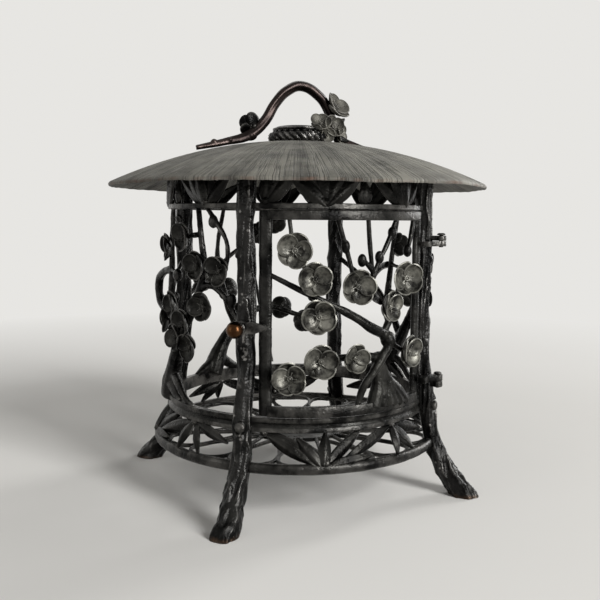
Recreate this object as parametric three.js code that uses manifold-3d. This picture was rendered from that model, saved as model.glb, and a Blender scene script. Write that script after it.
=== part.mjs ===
// A bronze lantern: four plum-trunk posts, hoops, bamboo-leaf sprays, plum-blossom openwork,
// a hinged door with a turning latch, and an umbrella roof with a branch handle.
// Millimetres, +Z up, origin on the ground under the centre, the door facing -Y.
// A bearing is an angle in degrees round the axis, from the door's centre toward +X.

import * as THREE from 'three';
import { mergeVertices } from 'three/addons/utils/BufferGeometryUtils.js';
import Module from 'manifold-3d';

const wasm = await Module();
wasm.setup();

// Driving dimensions: how closely pieces sit
const seatGap = 0.3;
const doorGap = 0.5;

// Driving dimensions: roof and crown
const roofDiameter = 220;
const roofRimHeight = 177.2;
const roofRise = 25.6;
const roofBulge = 2.05;
const roofWall = 1.8;
const crownDiameter = 36;
const crownHeight = 5.8;
const crownLobes = 12;
const capDiameter = 30;
const capHeight = 2.6;
const studDiameter = 5;
const studHeadDiameter = 11;

// Driving dimensions: handle
const handleThickness = 6;
const handleFootThickness = 4.6;
const handleArch = 33;
const handleLeftFoot = 62.9;
const handleLeftKnee = 29.5;
const handleRightKnee = 27;
const handleRightFoot = 51.3;

// Driving dimensions: posts
const postCircle = 152.4;
const postWidth = 10.6;
const postDepth = 8.4;
const footCircle = 207;
const footWidth = 14.2;
const footDepth = 10.4;
const quarter = 90;
const doorwayHalf = quarter / 2;

// Driving dimensions: hoops
const hoopDiameter = 152.8;
const hoopWall = 2.8;
const topHoopHeight = 4;
const upperHoopBottom = 162.8;
const upperHoopHeight = 3;
const baseHoopBottom = 47.4;
const baseHoopHeight = 7.8;
const ridgeHeight = 0.9;
const lowerHoopDiameter = 171;
const lowerHoopBottom = 27.6;
const lowerHoopHeight = 5.4;
const lowerHoopWall = 3.2;

// Driving dimensions: floor
const grilleThickness = 2.2;
const grillePetals = 16;
const grilleWire = 2.4;
const plateDiameter = 58;

// Driving dimensions: door
const stileBearing = 37.6;
const stileDiameter = 6;
const railWall = 3.6;
const topRailHeight = 5;
const bottomRailHeight = 5.6;
const nodeSwell = 0.7;

// Driving dimensions: branches, leaves and blossoms
const trunkDiameter = 13;
const limbDiameter = 4.6;
const twigDiameter = 2.6;
const budDiameter = 6;
const leafThickness = 1.8;
const leafWidth = 9;
const friezeLeafWidth = 10;
const blossomDiameter = 17.2;
const blossomDepth = 4.4;
const petalWall = 1.1;
const petals = 5;

// Driving dimensions: hinges
const pinDiameter = 2.4;
const eyeDiameter = 5.8;
const pinHeadDiameter = 4.6;
const pinHeadHeight = 1.2;
const upperHingeHeight = 143;
const upperLeafHeight = 2.8;
const lowerHingeHeight = 62.4;
const lowerLeafHeight = 3.4;
const strapDepth = 2.2;

// Driving dimensions: latch and rivets
const latchHeight = 102.5;
const knobDiameter = 8.8;
const knobReach = 15;
const shankDiameter = 3.2;
const tongueLength = 14.5;
const tongueWidth = 5.6;
const tongueThickness = 1.8;
const hubDiameter = 7.2;
const washerDiameter = 6.4;
const washerThickness = 1.4;
const catchDiameter = 4.2;
const rivetDiameter = 2.4;
const rivetHeadDiameter = 4.6;
const rivetHeadHeight = 1.3;

// How finely round forms are cut
const roundSegments = 36;
const roofSegments = 40;
const roofSteps = 5;
const surfaceDetail = 0.12;
const facetFlat = Math.cos(Math.PI / roundSegments);

// Worked out from the driving dimensions
const hoopRadius = hoopDiameter / 2;
const postRadius = postCircle / 2;
const panelRadius = hoopRadius - hoopWall / 2;
const lowerRadius = lowerHoopDiameter / 2;
const roofRadius = roofDiameter / 2;
const roofTop = roofRimHeight + roofRise;
const baseHoopTop = baseHoopBottom + baseHoopHeight;
const lowerHoopTop = lowerHoopBottom + lowerHoopHeight;
const upperHoopTop = upperHoopBottom + upperHoopHeight;
const doorBottom = baseHoopTop + doorGap;
const doorTop = upperHoopBottom - doorGap;
const windowBottom = doorBottom + bottomRailHeight;
const windowTop = doorTop - topRailHeight;
const postFace = postRadius + postDepth / 2;
const crownBase = roofTop + seatGap;
const topHoopTop = roofUnderside(hoopRadius) - seatGap * 2;
const topHoopBottom = topHoopTop - topHoopHeight;
const grilleBottom = lowerHoopBottom + (lowerHoopHeight - grilleThickness) / 2;

const UP = new THREE.Vector3(0, 0, 1);
const ACROSS = new THREE.Vector3(0, 1, 0);

function roofOutside(radius) {
  return roofTop - roofRise * (radius / roofRadius) ** roofBulge;
}

function roofUnderside(radius) {
  return roofOutside(radius) - roofWall * 1.06;
}

function radians(degrees) {
  return THREE.MathUtils.degToRad(degrees);
}

function at(bearing, radius, height) {
  const angle = radians(bearing);
  return new THREE.Vector3(radius * Math.sin(angle), -radius * Math.cos(angle), height);
}

function outward(bearing) {
  return at(bearing, 1, 0);
}

function sideways(bearing) {
  return outward(bearing + quarter);
}

function outwardFrom(point) {
  return new THREE.Vector3(point.x, point.y, 0).normalize();
}

// Solids from geometry and back

function solidFrom(geometry) {
  const bare = new THREE.BufferGeometry();
  bare.setAttribute('position', geometry.getAttribute('position').clone());
  if (geometry.index) bare.setIndex(geometry.index.clone());
  const merged = mergeVertices(bare, 1e-4);
  const corners = merged.index.array;
  const kept = [];
  for (let i = 0; i < corners.length; i += 3) {
    const [a, b, c] = [corners[i], corners[i + 1], corners[i + 2]];
    if (a !== b && b !== c && c !== a) kept.push(a, b, c);
  }
  const points = merged.getAttribute('position').array;
  const turned = signedVolume(points, kept) < 0 ? kept.reverse() : kept;
  return new wasm.Manifold(new wasm.Mesh({
    numProp: 3,
    vertProperties: Float32Array.from(points),
    triVerts: Uint32Array.from(turned),
  }));
}

function signedVolume(points, corners) {
  const [a, b, c] = [new THREE.Vector3(), new THREE.Vector3(), new THREE.Vector3()];
  let volume = 0;
  for (let i = 0; i < corners.length; i += 3) {
    a.fromArray(points, corners[i] * 3);
    b.fromArray(points, corners[i + 1] * 3);
    c.fromArray(points, corners[i + 2] * 3);
    volume += a.dot(b.cross(c)) / 6;
  }
  return volume;
}

function geometryFrom(solid) {
  const mesh = solid.getMesh();
  const geometry = new THREE.BufferGeometry();
  geometry.setAttribute('position', new THREE.BufferAttribute(Float32Array.from(mesh.vertProperties), 3));
  geometry.setIndex(new THREE.BufferAttribute(Uint32Array.from(mesh.triVerts), 1));
  geometry.computeVertexNormals();
  return geometry;
}

function joined(solids) {
  return solids.reduce((whole, piece) => whole.add(piece));
}

function cutBy(solid, cutters) {
  return cutters.reduce((whole, cutter) => whole.subtract(cutter), solid);
}

// Drops corners that stand less than the stated distance off the surface.
function lightened(solid) {
  return solid.simplify(surfaceDetail);
}

// Building forms

function revolved(profile, segments) {
  const points = profile.map(([radius, height]) => new THREE.Vector2(radius, height));
  points.push(points[0].clone());
  return solidFrom(new THREE.LatheGeometry(points, segments).rotateX(Math.PI / 2));
}

function ring(inner, outer, bottom, top, segments = roundSegments) {
  return revolved([[inner, bottom], [outer, bottom], [outer, top], [inner, top]], segments);
}

// A round bar along the radius at one bearing, from a smaller to a larger distance from the axis.
function radialBar(profile, bearing, height, segments) {
  const points = profile.map(([radius, distance]) => new THREE.Vector2(radius, distance));
  points.push(points[0].clone());
  const bar = new THREE.LatheGeometry(points, segments);
  bar.rotateX(Math.PI);
  bar.rotateZ(radians(bearing));
  bar.translate(0, 0, height);
  return solidFrom(bar);
}

function extrudedPlan(outline, bottom, height) {
  const shape = new THREE.Shape(outline);
  const slab = new THREE.ExtrudeGeometry(shape, { depth: height, bevelEnabled: false });
  return solidFrom(slab.translate(0, 0, bottom));
}

// A curved bar that follows the round plan between two bearings.
function sector(inner, outer, from, to, bottom, height, step = 5) {
  const count = Math.max(1, Math.ceil(Math.abs(to - from) / step));
  const bearings = Array.from({ length: count + 1 }, (_, i) => from + ((to - from) * i) / count);
  const outside = bearings.map((bearing) => at(bearing, outer, 0));
  const inside = bearings.map((bearing) => at(bearing, inner, 0)).reverse();
  const outline = [...outside, ...inside].map((point) => new THREE.Vector2(point.x, point.y));
  return extrudedPlan(outline, bottom, height);
}

// A limb follows a path. Its section has two half sizes, the first of them across the given direction.
function limb({ path, halves, across, sides = 8, steps = 12 }) {
  const positions = [];
  const index = [];
  for (let ringIndex = 0; ringIndex <= steps; ringIndex += 1) {
    const share = ringIndex / steps;
    const centre = path.getPointAt(share);
    const along = path.getTangentAt(share);
    const lean = across(centre);
    const first = lean.clone().addScaledVector(along, -lean.dot(along)).normalize();
    const second = new THREE.Vector3().crossVectors(along, first);
    for (let side = 0; side < sides; side += 1) {
      const angle = (side / sides) * Math.PI * 2;
      const [a, b] = halves(share, angle);
      const point = centre.clone();
      point.addScaledVector(first, a * Math.cos(angle));
      point.addScaledVector(second, b * Math.sin(angle));
      positions.push(...point.toArray());
    }
  }
  for (let ringIndex = 0; ringIndex < steps; ringIndex += 1) {
    for (let side = 0; side < sides; side += 1) {
      const next = (side + 1) % sides;
      const low = ringIndex * sides;
      const high = low + sides;
      index.push(low + side, low + next, high + next, low + side, high + next, high + side);
    }
  }
  closeEnd(positions, index, path.getPointAt(0), 0, sides, true);
  closeEnd(positions, index, path.getPointAt(1), steps * sides, sides, false);
  const geometry = new THREE.BufferGeometry();
  geometry.setAttribute('position', new THREE.Float32BufferAttribute(positions, 3));
  geometry.setIndex(index);
  return solidFrom(geometry);
}

function closeEnd(positions, index, centre, start, sides, backward) {
  const middle = positions.length / 3;
  positions.push(...centre.toArray());
  for (let side = 0; side < sides; side += 1) {
    const next = (side + 1) % sides;
    if (backward) index.push(middle, start + next, start + side);
    else index.push(middle, start + side, start + next);
  }
}

function smoothPath(points) {
  return new THREE.CatmullRomCurve3(points, false, 'centripetal');
}

// A branch tapers from one diameter to the other and swells a little at its joints.
function branch(points, startDiameter, endDiameter, { sides = 6, steps = 6, knots = 2 } = {}) {
  return limb({
    path: smoothPath(points),
    across: outwardFrom,
    sides,
    steps,
    halves: (share) => {
      const taper = THREE.MathUtils.lerp(startDiameter, endDiameter, share) / 2;
      const swell = 1 + 0.08 * Math.cos(share * knots * Math.PI * 2);
      return [taper * swell, taper * swell];
    },
  });
}

function bud(point, diameter = budDiameter) {
  const ball = new THREE.SphereGeometry(diameter / 2, 5, 3);
  ball.scale(1, 1, 1.25);
  ball.translate(...point.toArray());
  return solidFrom(ball);
}

// A plum blossom: five cupped petals round a low boss, with its back on the local origin, facing +Z.
function blossomShape(diameter, boss = true) {
  const perPetal = boss ? 3 : 2;
  const around = petals * perPetal;
  const radius = diameter / 2;
  const floor = petalWall * 1.6;
  const middle = boss ? [[0.24, floor, 0]] : [];
  const rings = [...middle, [1, blossomDepth, 1], [0.96, blossomDepth - petalWall, 1]];
  const positions = [0, 0, boss ? floor + petalWall : floor];
  rings.forEach(([share, height, lobed]) => {
    for (let i = 0; i < around; i += 1) {
      const angle = ((i + 0.5) / around) * Math.PI * 2 + Math.PI / around;
      const lobe = 1 - lobed * 0.2 * (1 - Math.abs(Math.cos((petals / 2) * angle)) ** 0.5);
      const reach = share * radius * lobe;
      positions.push(reach * Math.cos(angle), reach * Math.sin(angle), height);
    }
  });
  positions.push(0, 0, 0);
  const index = [];
  const last = positions.length / 3 - 1;
  const lastRing = 1 + (rings.length - 1) * around;
  for (let i = 0; i < around; i += 1) {
    const next = (i + 1) % around;
    index.push(0, 1 + i, 1 + next);
    index.push(last, lastRing + next, lastRing + i);
  }
  for (let level = 0; level < rings.length - 1; level += 1) {
    for (let i = 0; i < around; i += 1) {
      const next = (i + 1) % around;
      const [a, b] = [1 + level * around + i, 1 + level * around + next];
      index.push(a, a + around, b, b, a + around, b + around);
    }
  }
  const geometry = new THREE.BufferGeometry();
  geometry.setAttribute('position', new THREE.Float32BufferAttribute(positions, 3));
  geometry.setIndex(index);
  return geometry;
}

// Turns a blossom to face a direction with its back on a point.
function facing(geometry, point, direction, spin = 0) {
  geometry.rotateZ(radians(spin));
  const turn = new THREE.Quaternion().setFromUnitVectors(UP, direction.clone().normalize());
  geometry.applyQuaternion(turn);
  geometry.translate(...point.toArray());
  return solidFrom(geometry);
}

// Roof, crown and handle

function roofShell() {
  const steps = roofSteps;
  const hole = studDiameter / 2 + seatGap;
  const radii = Array.from({ length: steps + 1 }, (_, i) => THREE.MathUtils.lerp(hole, roofRadius, i / steps));
  const outside = radii.map((radius) => [radius, roofOutside(radius)]);
  const inside = radii.map((radius) => [Math.min(radius, roofRadius - 1), roofUnderside(radius)]).reverse();
  return revolved([...outside, ...inside], roofSegments);
}

// Everything above the roof's underside, for cutting what stands below it.
function aboveRoof(lowered) {
  const steps = roofSteps;
  const radii = Array.from({ length: steps + 1 }, (_, i) => (roofRadius * i) / steps);
  const underside = radii.map((radius) => [radius, roofUnderside(radius) - lowered]);
  const ceiling = roofTop + roofRise;
  return revolved([...underside, [roofRadius, ceiling], [0, ceiling]], roofSegments);
}


function crownRing() {
  const hole = studDiameter / 2 + seatGap;
  const [bottom, top] = [crownBase, crownBase + crownHeight];
  const turns = crownLobes * 2;
  const outline = Array.from({ length: turns }, (_, i) => {
    const angle = (i / turns) * Math.PI * 2;
    const reach = crownDiameter / 2 - 0.9 * (i % 2);
    return new THREE.Vector2(reach * Math.cos(angle), reach * Math.sin(angle));
  });
  const shape = new THREE.Shape(outline);
  shape.holes.push(new THREE.Path().absarc(0, 0, hole, 0, Math.PI * 2, true));
  const bevel = crownHeight * 0.28;
  const body = new THREE.ExtrudeGeometry(shape, {
    depth: top - bottom - 2 * bevel,
    bevelThickness: bevel,
    bevelSize: bevel,
    bevelOffset: -bevel,
    bevelSegments: 1,
    curveSegments: 6,
  });
  return solidFrom(body.translate(0, 0, bottom + bevel));
}

function crownCap() {
  const base = crownBase + crownHeight + seatGap;
  const stud = studDiameter / 2;
  const head = studHeadDiameter / 2;
  const headTop = roofUnderside(0) - seatGap;
  const headBottom = headTop - petalWall;
  const rim = capDiameter / 2;
  return revolved([
    [0, headBottom], [head, headBottom], [head, headTop], [stud, headTop], [stud, base],
    [rim, base], [rim, base + capHeight * 0.5], [rim - 2, base + capHeight], [0, base + capHeight],
  ], 18);
}

function handlePath() {
  const foot = handleFootThickness / 2 + seatGap;
  const onRoof = (x) => new THREE.Vector3(x, 0, roofOutside(Math.abs(x)) + foot);
  const raised = (x, share) => new THREE.Vector3(x, 0, roofTop + handleArch * share);
  return smoothPath([
    onRoof(-handleLeftFoot),
    onRoof((-handleLeftFoot - handleLeftKnee) / 2),
    raised(-handleLeftKnee - 1, 0.09),
    raised(-handleLeftKnee * 0.73, 0.34),
    raised(-handleLeftKnee * 0.5, 0.67),
    raised(-handleLeftKnee * 0.24, 0.9),
    raised(2, 1),
    raised(handleRightKnee * 0.5, 0.85),
    raised(handleRightKnee * 0.72, 0.63),
    raised(handleRightKnee * 0.86, 0.35),
    raised(handleRightKnee, 0.11),
    onRoof((handleRightFoot + handleRightKnee) / 2),
    onRoof(handleRightFoot),
  ]);
}

function handleBranch() {
  const path = handlePath();
  const whole = limb({
    path,
    across: () => ACROSS,
    sides: 8,
    steps: 26,
    halves: (share) => {
      const fromEnd = Math.min(share, 1 - share);
      const taper = THREE.MathUtils.smoothstep(fromEnd, 0.05, 0.3);
      const half = THREE.MathUtils.lerp(handleFootThickness, handleThickness, taper) / 2;
      const swell = 1 + 0.04 * Math.sin(share * 40);
      return [half * swell, half * swell];
    },
  });
  return cutBy(whole, [aboveRoofGuard()]);
}

// The roof and what lies a seat's gap above it, for cutting what rests on the roof.
function aboveRoofGuard() {
  const steps = roofSteps;
  const radii = Array.from({ length: steps + 1 }, (_, i) => (roofRadius * i) / steps);
  const surface = radii.map((radius) => [radius, roofOutside(radius) + seatGap]).reverse();
  const floor = roofRimHeight - roofRise;
  return revolved([[0, floor], [roofRadius, floor], ...surface], roofSegments);
}

// Posts

function postPath(bearing) {
  const foot = footCircle / 2;
  const spread = foot - postRadius;
  const stations = [
    [1.09, -6], [1, 0], [0.62, 13], [0.31, lowerHoopBottom + 2], [0.16, baseHoopBottom + 5],
    [0.1, windowBottom], [0, latchHeight], [0, upperHoopBottom], [0, roofTop],
  ];
  return smoothPath(stations.map(([share, height]) => at(bearing, postRadius + spread * share, height)));
}

function postBody(bearing, grow = 0) {
  const turn = bearing / quarter;
  return limb({
    path: postPath(bearing),
    across: () => sideways(bearing),
    sides: 8,
    steps: 14,
    halves: (share, angle) => {
      const taper = THREE.MathUtils.smoothstep(share, 0, 0.3);
      const width = THREE.MathUtils.lerp(footWidth, postWidth, taper) / 2;
      const depth = THREE.MathUtils.lerp(footDepth, postDepth, taper) / 2;
      const bark = 1 - 0.05 * (1 + Math.sin(angle * 3 + share * 21 + turn * 2)) * 0.5;
      const knot = 1 - 0.06 * (1 + Math.cos(share * 29 + turn * 5)) * 0.5;
      return [width * bark * knot + grow, depth * bark * knot + grow];
    },
  });
}

const postBearings = {
  front_left: -doorwayHalf,
  front_right: doorwayHalf,
  back_right: doorwayHalf + quarter,
  back_left: -doorwayHalf - quarter,
};

function postNotches() {
  const inner = panelRadius - postDepth * 2;
  const low = ring(inner, lowerRadius + seatGap, lowerHoopBottom - seatGap, lowerHoopTop + seatGap);
  const base = ring(
    inner, hoopRadius + ridgeHeight + seatGap, baseHoopBottom - seatGap, baseHoopTop + seatGap);
  const upper = ring(inner, hoopRadius + seatGap, upperHoopBottom - seatGap, upperHoopTop + seatGap);
  const top = ring(inner, hoopRadius + seatGap, topHoopBottom - seatGap, roofTop);
  return [low, base, upper, top];
}

function post(bearing) {
  const standing = postBody(bearing).trimByPlane([0, 0, 1], 0);
  const bore = radialBar(
    [[0, postRadius - postDepth], [rivetDiameter / 2 + seatGap, postRadius - postDepth],
      [rivetDiameter / 2 + seatGap, footCircle / 2], [0, footCircle / 2]],
    bearing, rivetHeight, 8);
  return lightened(cutBy(standing, [...postNotches(), aboveRoof(seatGap), bore]));
}

function latchPost() {
  const inner = postRadius - postDepth;
  const reach = shankDiameter / 2 + seatGap;
  const bore = radialBar(
    [[0, inner], [reach, inner], [reach, footCircle / 2], [0, footCircle / 2]], -doorwayHalf, latchHeight, 12);
  return post(-doorwayHalf).subtract(bore);
}

// Rivets that hold the base hoop to the posts

const rivetHeight = baseHoopBottom + baseHoopHeight / 2;

function postFaceAt(height) {
  const path = postPath(0);
  const samples = Array.from({ length: 201 }, (_, i) => path.getPointAt(i / 200));
  const nearest = samples.reduce((best, point) =>
    (Math.abs(point.z - height) < Math.abs(best.z - height) ? point : best));
  return -nearest.y + postDepth / 2;
}

function postRivet(bearing) {
  const head = rivetHeadDiameter / 2;
  const shank = rivetDiameter / 2;
  const face = postFaceAt(rivetHeight) + seatGap * 2;
  const tail = hoopRadius + ridgeHeight + seatGap;
  return radialBar(
    [[0, tail], [shank, tail], [shank, face], [head, face], [head * 0.75, face + rivetHeadHeight * 0.7],
      [0, face + rivetHeadHeight]],
    bearing, rivetHeight, 8);
}

// Hoops and floor

function baseHoop() {
  const inner = hoopRadius - hoopWall;
  const outer = hoopRadius;
  const proud = outer + ridgeHeight;
  const level = (share) => baseHoopBottom + baseHoopHeight * share;
  return revolved([
    [inner, level(0)], [proud, level(0)], [proud, level(0.38)], [outer, level(0.5)],
    [proud, level(0.62)], [proud, level(1)], [inner, level(1)],
  ], roundSegments);
}

function lowerHoop() {
  const inner = lowerRadius - lowerHoopWall;
  const level = (share) => lowerHoopBottom + lowerHoopHeight * share;
  return revolved([
    [inner, level(0)], [lowerRadius - 1, level(0)], [lowerRadius, level(0.3)],
    [lowerRadius, level(0.7)], [lowerRadius - 1, level(1)], [inner, level(1)],
  ], roundSegments);
}

// One petal-shaped opening of the floor, narrow at the plate and round at the rim.
function petalOpening(bearing, inner, outer, halfWidth) {
  const stations = [[0, 0.02], [0.35, 0.58], [0.75, 0.98], [1, 0.4]];
  const side = (share, width, sign) => {
    const radius = THREE.MathUtils.lerp(inner, outer, share);
    const point = at(bearing, radius, 0).addScaledVector(sideways(bearing), sign * width * halfWidth);
    return new THREE.Vector2(point.x, point.y);
  };
  const right = stations.map(([share, width]) => side(share, width, 1));
  const left = stations.map(([share, width]) => side(share, width, -1)).reverse();
  return new THREE.Path([...right, ...left.slice(0, -1)]);
}

// The wedge left open between two petals, against the rim.
function wedgeOpening(bearing, rim, halfWidth, depth) {
  const corner = (radius, sideStep) => {
    const point = at(bearing, radius, 0).addScaledVector(sideways(bearing), sideStep);
    return new THREE.Vector2(point.x, point.y);
  };
  return new THREE.Path([
    corner(rim - depth, 0), corner(rim - depth * 0.35, halfWidth * 0.45), corner(rim, halfWidth),
    corner(rim, -halfWidth), corner(rim - depth * 0.35, -halfWidth * 0.45),
  ]);
}

function floorGrille() {
  const outer = (lowerRadius - lowerHoopWall) * facetFlat - seatGap;
  const shape = new THREE.Shape().absarc(0, 0, outer, 0, Math.PI * 2, false);
  const rim = outer - grilleWire;
  const pitch = 360 / grillePetals;
  const halfPitch = rim * Math.tan(radians(pitch / 2));
  const petalHalf = halfPitch * 0.72;
  const wedgeHalf = halfPitch * 0.42;
  for (let i = 0; i < grillePetals; i += 1) {
    const bearing = i * pitch;
    shape.holes.push(petalOpening(bearing, plateDiameter / 2 + grilleWire, rim, petalHalf));
    shape.holes.push(wedgeOpening(bearing + pitch / 2, rim, wedgeHalf, wedgeHalf * 2.6));
  }
  const slab = new THREE.ExtrudeGeometry(shape, {
    depth: grilleThickness,
    bevelEnabled: false,
    curveSegments: 24,
  });
  return solidFrom(slab.translate(0, 0, grilleBottom));
}

// Leaves: a spray of pointed blades on a cylinder or cone between two heights

function leafOnShell(shell, [fromBearing, fromShare], [toBearing, toShare], width = leafWidth) {
  const stations = [0, 0.35, 0.7, 1].map((share) => {
    const bow = 0.5 * Math.sin(share * Math.PI);
    return shell(
      THREE.MathUtils.lerp(fromBearing, toBearing, share),
      THREE.MathUtils.lerp(fromShare, toShare, share), bow);
  });
  return limb({
    path: smoothPath(stations),
    across: outwardFrom,
    sides: 3,
    steps: 3,
    halves: (share) => {
      const blade = Math.sin(Math.PI * (0.05 + share * 0.91)) ** 0.8;
      return [leafThickness * 0.67, Math.max(0.5, (width / 2) * blade) * 1.15];
    },
  });
}

function friezeShell(bearing, share, out = 0) {
  const height = THREE.MathUtils.lerp(upperHoopTop, topHoopBottom, share);
  return at(bearing, panelRadius + out, height);
}

function skirtShell(bearing, share, out = 0) {
  const height = THREE.MathUtils.lerp(lowerHoopTop, baseHoopBottom, share);
  const radius = THREE.MathUtils.lerp(lowerRadius - lowerHoopWall / 2, panelRadius, share);
  return at(bearing, radius + out, height);
}

// Two fans of leaves stand on the upper hoop and cross between them.
function frieze(centre) {
  const fans = [
    { from: [-21, -0.1], tips: [[-40, 0.5], [-29, 1.05], [-13, 1.05], [4, 0.75]] },
    { from: [21, -0.1], tips: [[-4, 0.75], [13, 1.05], [29, 1.05], [40, 0.5]] },
  ];
  const leaves = fans.flatMap(({ from, tips }) => tips.map((tip) => leafOnShell(
    (bearing, share, out) => friezeShell(centre + bearing, share, out), from, tip, friezeLeafWidth)));
  return lightened(cutBy(joined(leaves), [...beyond(upperHoopTop, topHoopBottom), ...postsGrown()]));
}

// Leaves hang from the base hoop at both ends and rise from the lower hoop between them.
function skirt(centre) {
  const leaves = [
    [[-39, 0.95], [-31, 0]], [[-38, 0.95], [-15.5, 0.05]], [[-16.5, -0.05], [-25, 0.85]],
    [[-15.5, -0.05], [-13.5, 1.03]], [[-14.5, -0.05], [3, 1.03]], [[17, 0.95], [-13, 0.03]],
    [[17.5, 0.95], [15, 0]], [[18, 0.95], [26, -0.03]], [[18.5, 0.95], [38, 0.5]],
  ];
  const blades = leaves.map(([from, to]) => leafOnShell(
    (bearing, share, out) => skirtShell(centre + bearing, share, out), from, to));
  const knot = (bearing, share) => bud(skirtShell(centre + bearing, share), leafThickness * 2.6);
  const whole = joined([...blades, knot(-38.2, 0.95), knot(-15, 0.03), knot(17.7, 0.95)]);
  return lightened(cutBy(whole, [...beyond(lowerHoopTop, baseHoopBottom), ...postsGrown()]));
}

// Neighbours grown by the seat's gap, for cutting what ends on them

const grownCache = new Map();

function remembered(name, make) {
  if (!grownCache.has(name)) grownCache.set(name, make());
  return grownCache.get(name);
}

// All that lies below one height or above another, where the hoops run.
function beyond(low, high) {
  const inner = hoopRadius - hoopWall * 3;
  const outer = lowerRadius + hoopWall * 3;
  const reach = lowerHoopBottom;
  return remembered(`${low} ${high}`, () => [
    ring(inner, outer, low - reach, low + seatGap),
    ring(inner, outer, high - seatGap, high + reach),
  ]);
}

function postsGrown() {
  return remembered('posts', () => Object.values(postBearings).map((bearing) => postBody(bearing, seatGap)));
}

// Openwork of the three fixed quarters: plum branches with their blossoms and buds

function panelShell(centre, mirror) {
  return (bearing, share, out = 0) => at(
    centre + mirror * bearing, panelRadius + out, THREE.MathUtils.lerp(baseHoopTop, upperHoopBottom, share));
}

const sidePanel = {
  limbs: [
    { from: trunkDiameter, to: limbDiameter, run: [[-14, -0.03], [-6, 0.14], [8, 0.38]] },
    { from: limbDiameter, to: twigDiameter, run: [[8, 0.38], [18, 0.52], [24, 0.7], [20.2, 1.02]] },
    { from: limbDiameter, to: twigDiameter, run: [[22, 0.62], [32, 0.6], [42, 0.45]] },
    { from: twigDiameter, to: twigDiameter, run: [[25, 1.02], [36, 0.82], [32, 0.6]] },
    { from: limbDiameter, to: twigDiameter, run: [[0, 0.24], [-12, 0.42], [-22, 0.55], [-42, 0.7]] },
    { from: limbDiameter, to: limbDiameter, run: [[-18, 0.5], [-26, 0.57, 7], [-25, 0.7, 7], [-12, 0.79]] },
    { from: limbDiameter, to: twigDiameter, run: [[-12, 0.42], [-9, 0.7], [-4, 1.02]] },
  ],
  blossoms: [
    [21.2, 0.72, 20], [33, 0.7, -10], [11.5, 0.42, 10], [0, 0.5, 30], [16, 0.3, 0], [-7.4, 0.8, 15],
    [12, 0.86, 0],
  ],
  buds: [[29, 0.94], [-31, 0.6]],
};

const backPanel = {
  limbs: [
    { from: trunkDiameter, to: limbDiameter, run: [[24, -0.03], [17, 0.16], [4, 0.34]] },
    { from: limbDiameter, to: twigDiameter, run: [[4, 0.34], [-12, 0.38], [-27, 0.33], [-42, 0.42]] },
    { from: limbDiameter, to: twigDiameter, run: [[7, 0.29], [16, 0.5], [20, 0.78], [16, 1.02]] },
    { from: twigDiameter, to: twigDiameter, run: [[21, 0.64], [2, 0.8], [-20, 1.02]] },
    { from: limbDiameter, to: twigDiameter, run: [[15, 0.46], [27, 0.56], [42, 0.5]] },
  ],
  blossoms: [
    [-17, 0.37, 0], [-29, 0.28, 20], [18, 0.64, 10], [-14, 0.93, 0], [27, 0.57, 20], [4, 0.34, 0],
  ],
  buds: [[2, 0.8], [36, 0.53]],
};

// A short spur to a place from the nearest limb, reaching past both.
function spurTo(place, paths) {
  const samples = paths.flatMap((path) => path.getPoints(16));
  const nearest = samples.reduce((best, point) => (
    point.distanceTo(place) < best.distanceTo(place) ? point : best));
  const reach = place.clone().sub(nearest);
  if (reach.length() < seatGap) return [];
  const past = reach.clone().setLength(twigDiameter / 3);
  const run = [nearest.clone().sub(past), place.clone().add(past)];
  return [branch(run, twigDiameter, twigDiameter, { sides: 4, steps: 1 })];
}

function fixedPanel(layout, centre, mirror) {
  const shell = panelShell(centre, mirror);
  const runs = layout.limbs.map(({ run }) => run.map((place) => shell(...place)));
  const limbs = layout.limbs.map(({ from, to }, i) => branch(
    runs[i], from, to, { sides: from > limbDiameter ? 6 : 4, steps: runs[i].length }));
  const paths = runs.map(smoothPath);
  const flowers = layout.blossoms.flatMap(([bearing, share, spin]) => {
    const away = outward(centre + mirror * bearing);
    const flower = facing(blossomShape(blossomDiameter, false), shell(bearing, share), away, spin);
    return [flower, ...spurTo(shell(bearing, share, petalWall), paths)];
  });
  const buds = layout.buds.flatMap((place) => [bud(shell(...place)), ...spurTo(shell(...place), paths)]);
  const cutters = [...beyond(baseHoopTop, upperHoopBottom), ...postsGrown()];
  return lightened(cutBy(joined([...limbs, ...flowers, ...buds]), cutters));
}

// Door

function stileBody(bearing, grow = 0, swells = 7) {
  const [low, high] = [doorBottom - grow, doorTop + grow];
  return limb({
    path: new THREE.LineCurve3(at(bearing, panelRadius + 1, low), at(bearing, panelRadius + 1, high)),
    across: () => sideways(bearing),
    sides: 8,
    steps: swells * 2,
    halves: (share) => {
      const step = Math.round(share * swells * 2);
      const half = stileDiameter / 2 + grow + (step % 2 === 1 ? nodeSwell / 2 : 0);
      return [half, half];
    },
  });
}

function rail(bottom, height) {
  const inner = panelRadius + 1 - railWall / 2;
  const whole = sector(inner, inner + railWall, -stileBearing, stileBearing, bottom, height);
  return cutBy(whole, [stileBody(-stileBearing, seatGap), stileBody(stileBearing, seatGap)]);
}

function doorShell(bearing, share, out = 0) {
  return at(bearing, panelRadius + out, THREE.MathUtils.lerp(windowBottom, windowTop, share));
}

function doorEnds() {
  const inner = panelRadius - railWall * 2;
  const outer = panelRadius + railWall;
  return remembered('door', () => [
    ring(inner, outer, doorBottom - railWall, windowBottom + seatGap),
    ring(inner, outer, windowTop - seatGap, doorTop + railWall),
    stileBody(-stileBearing, seatGap),
    stileBody(stileBearing, seatGap),
    ...postsGrown(),
  ]);
}

function doorBranch(run, from, to, sides = 6) {
  return branch(run.map((place) => doorShell(...place)), from, to, { sides, steps: run.length + 1 });
}

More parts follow.
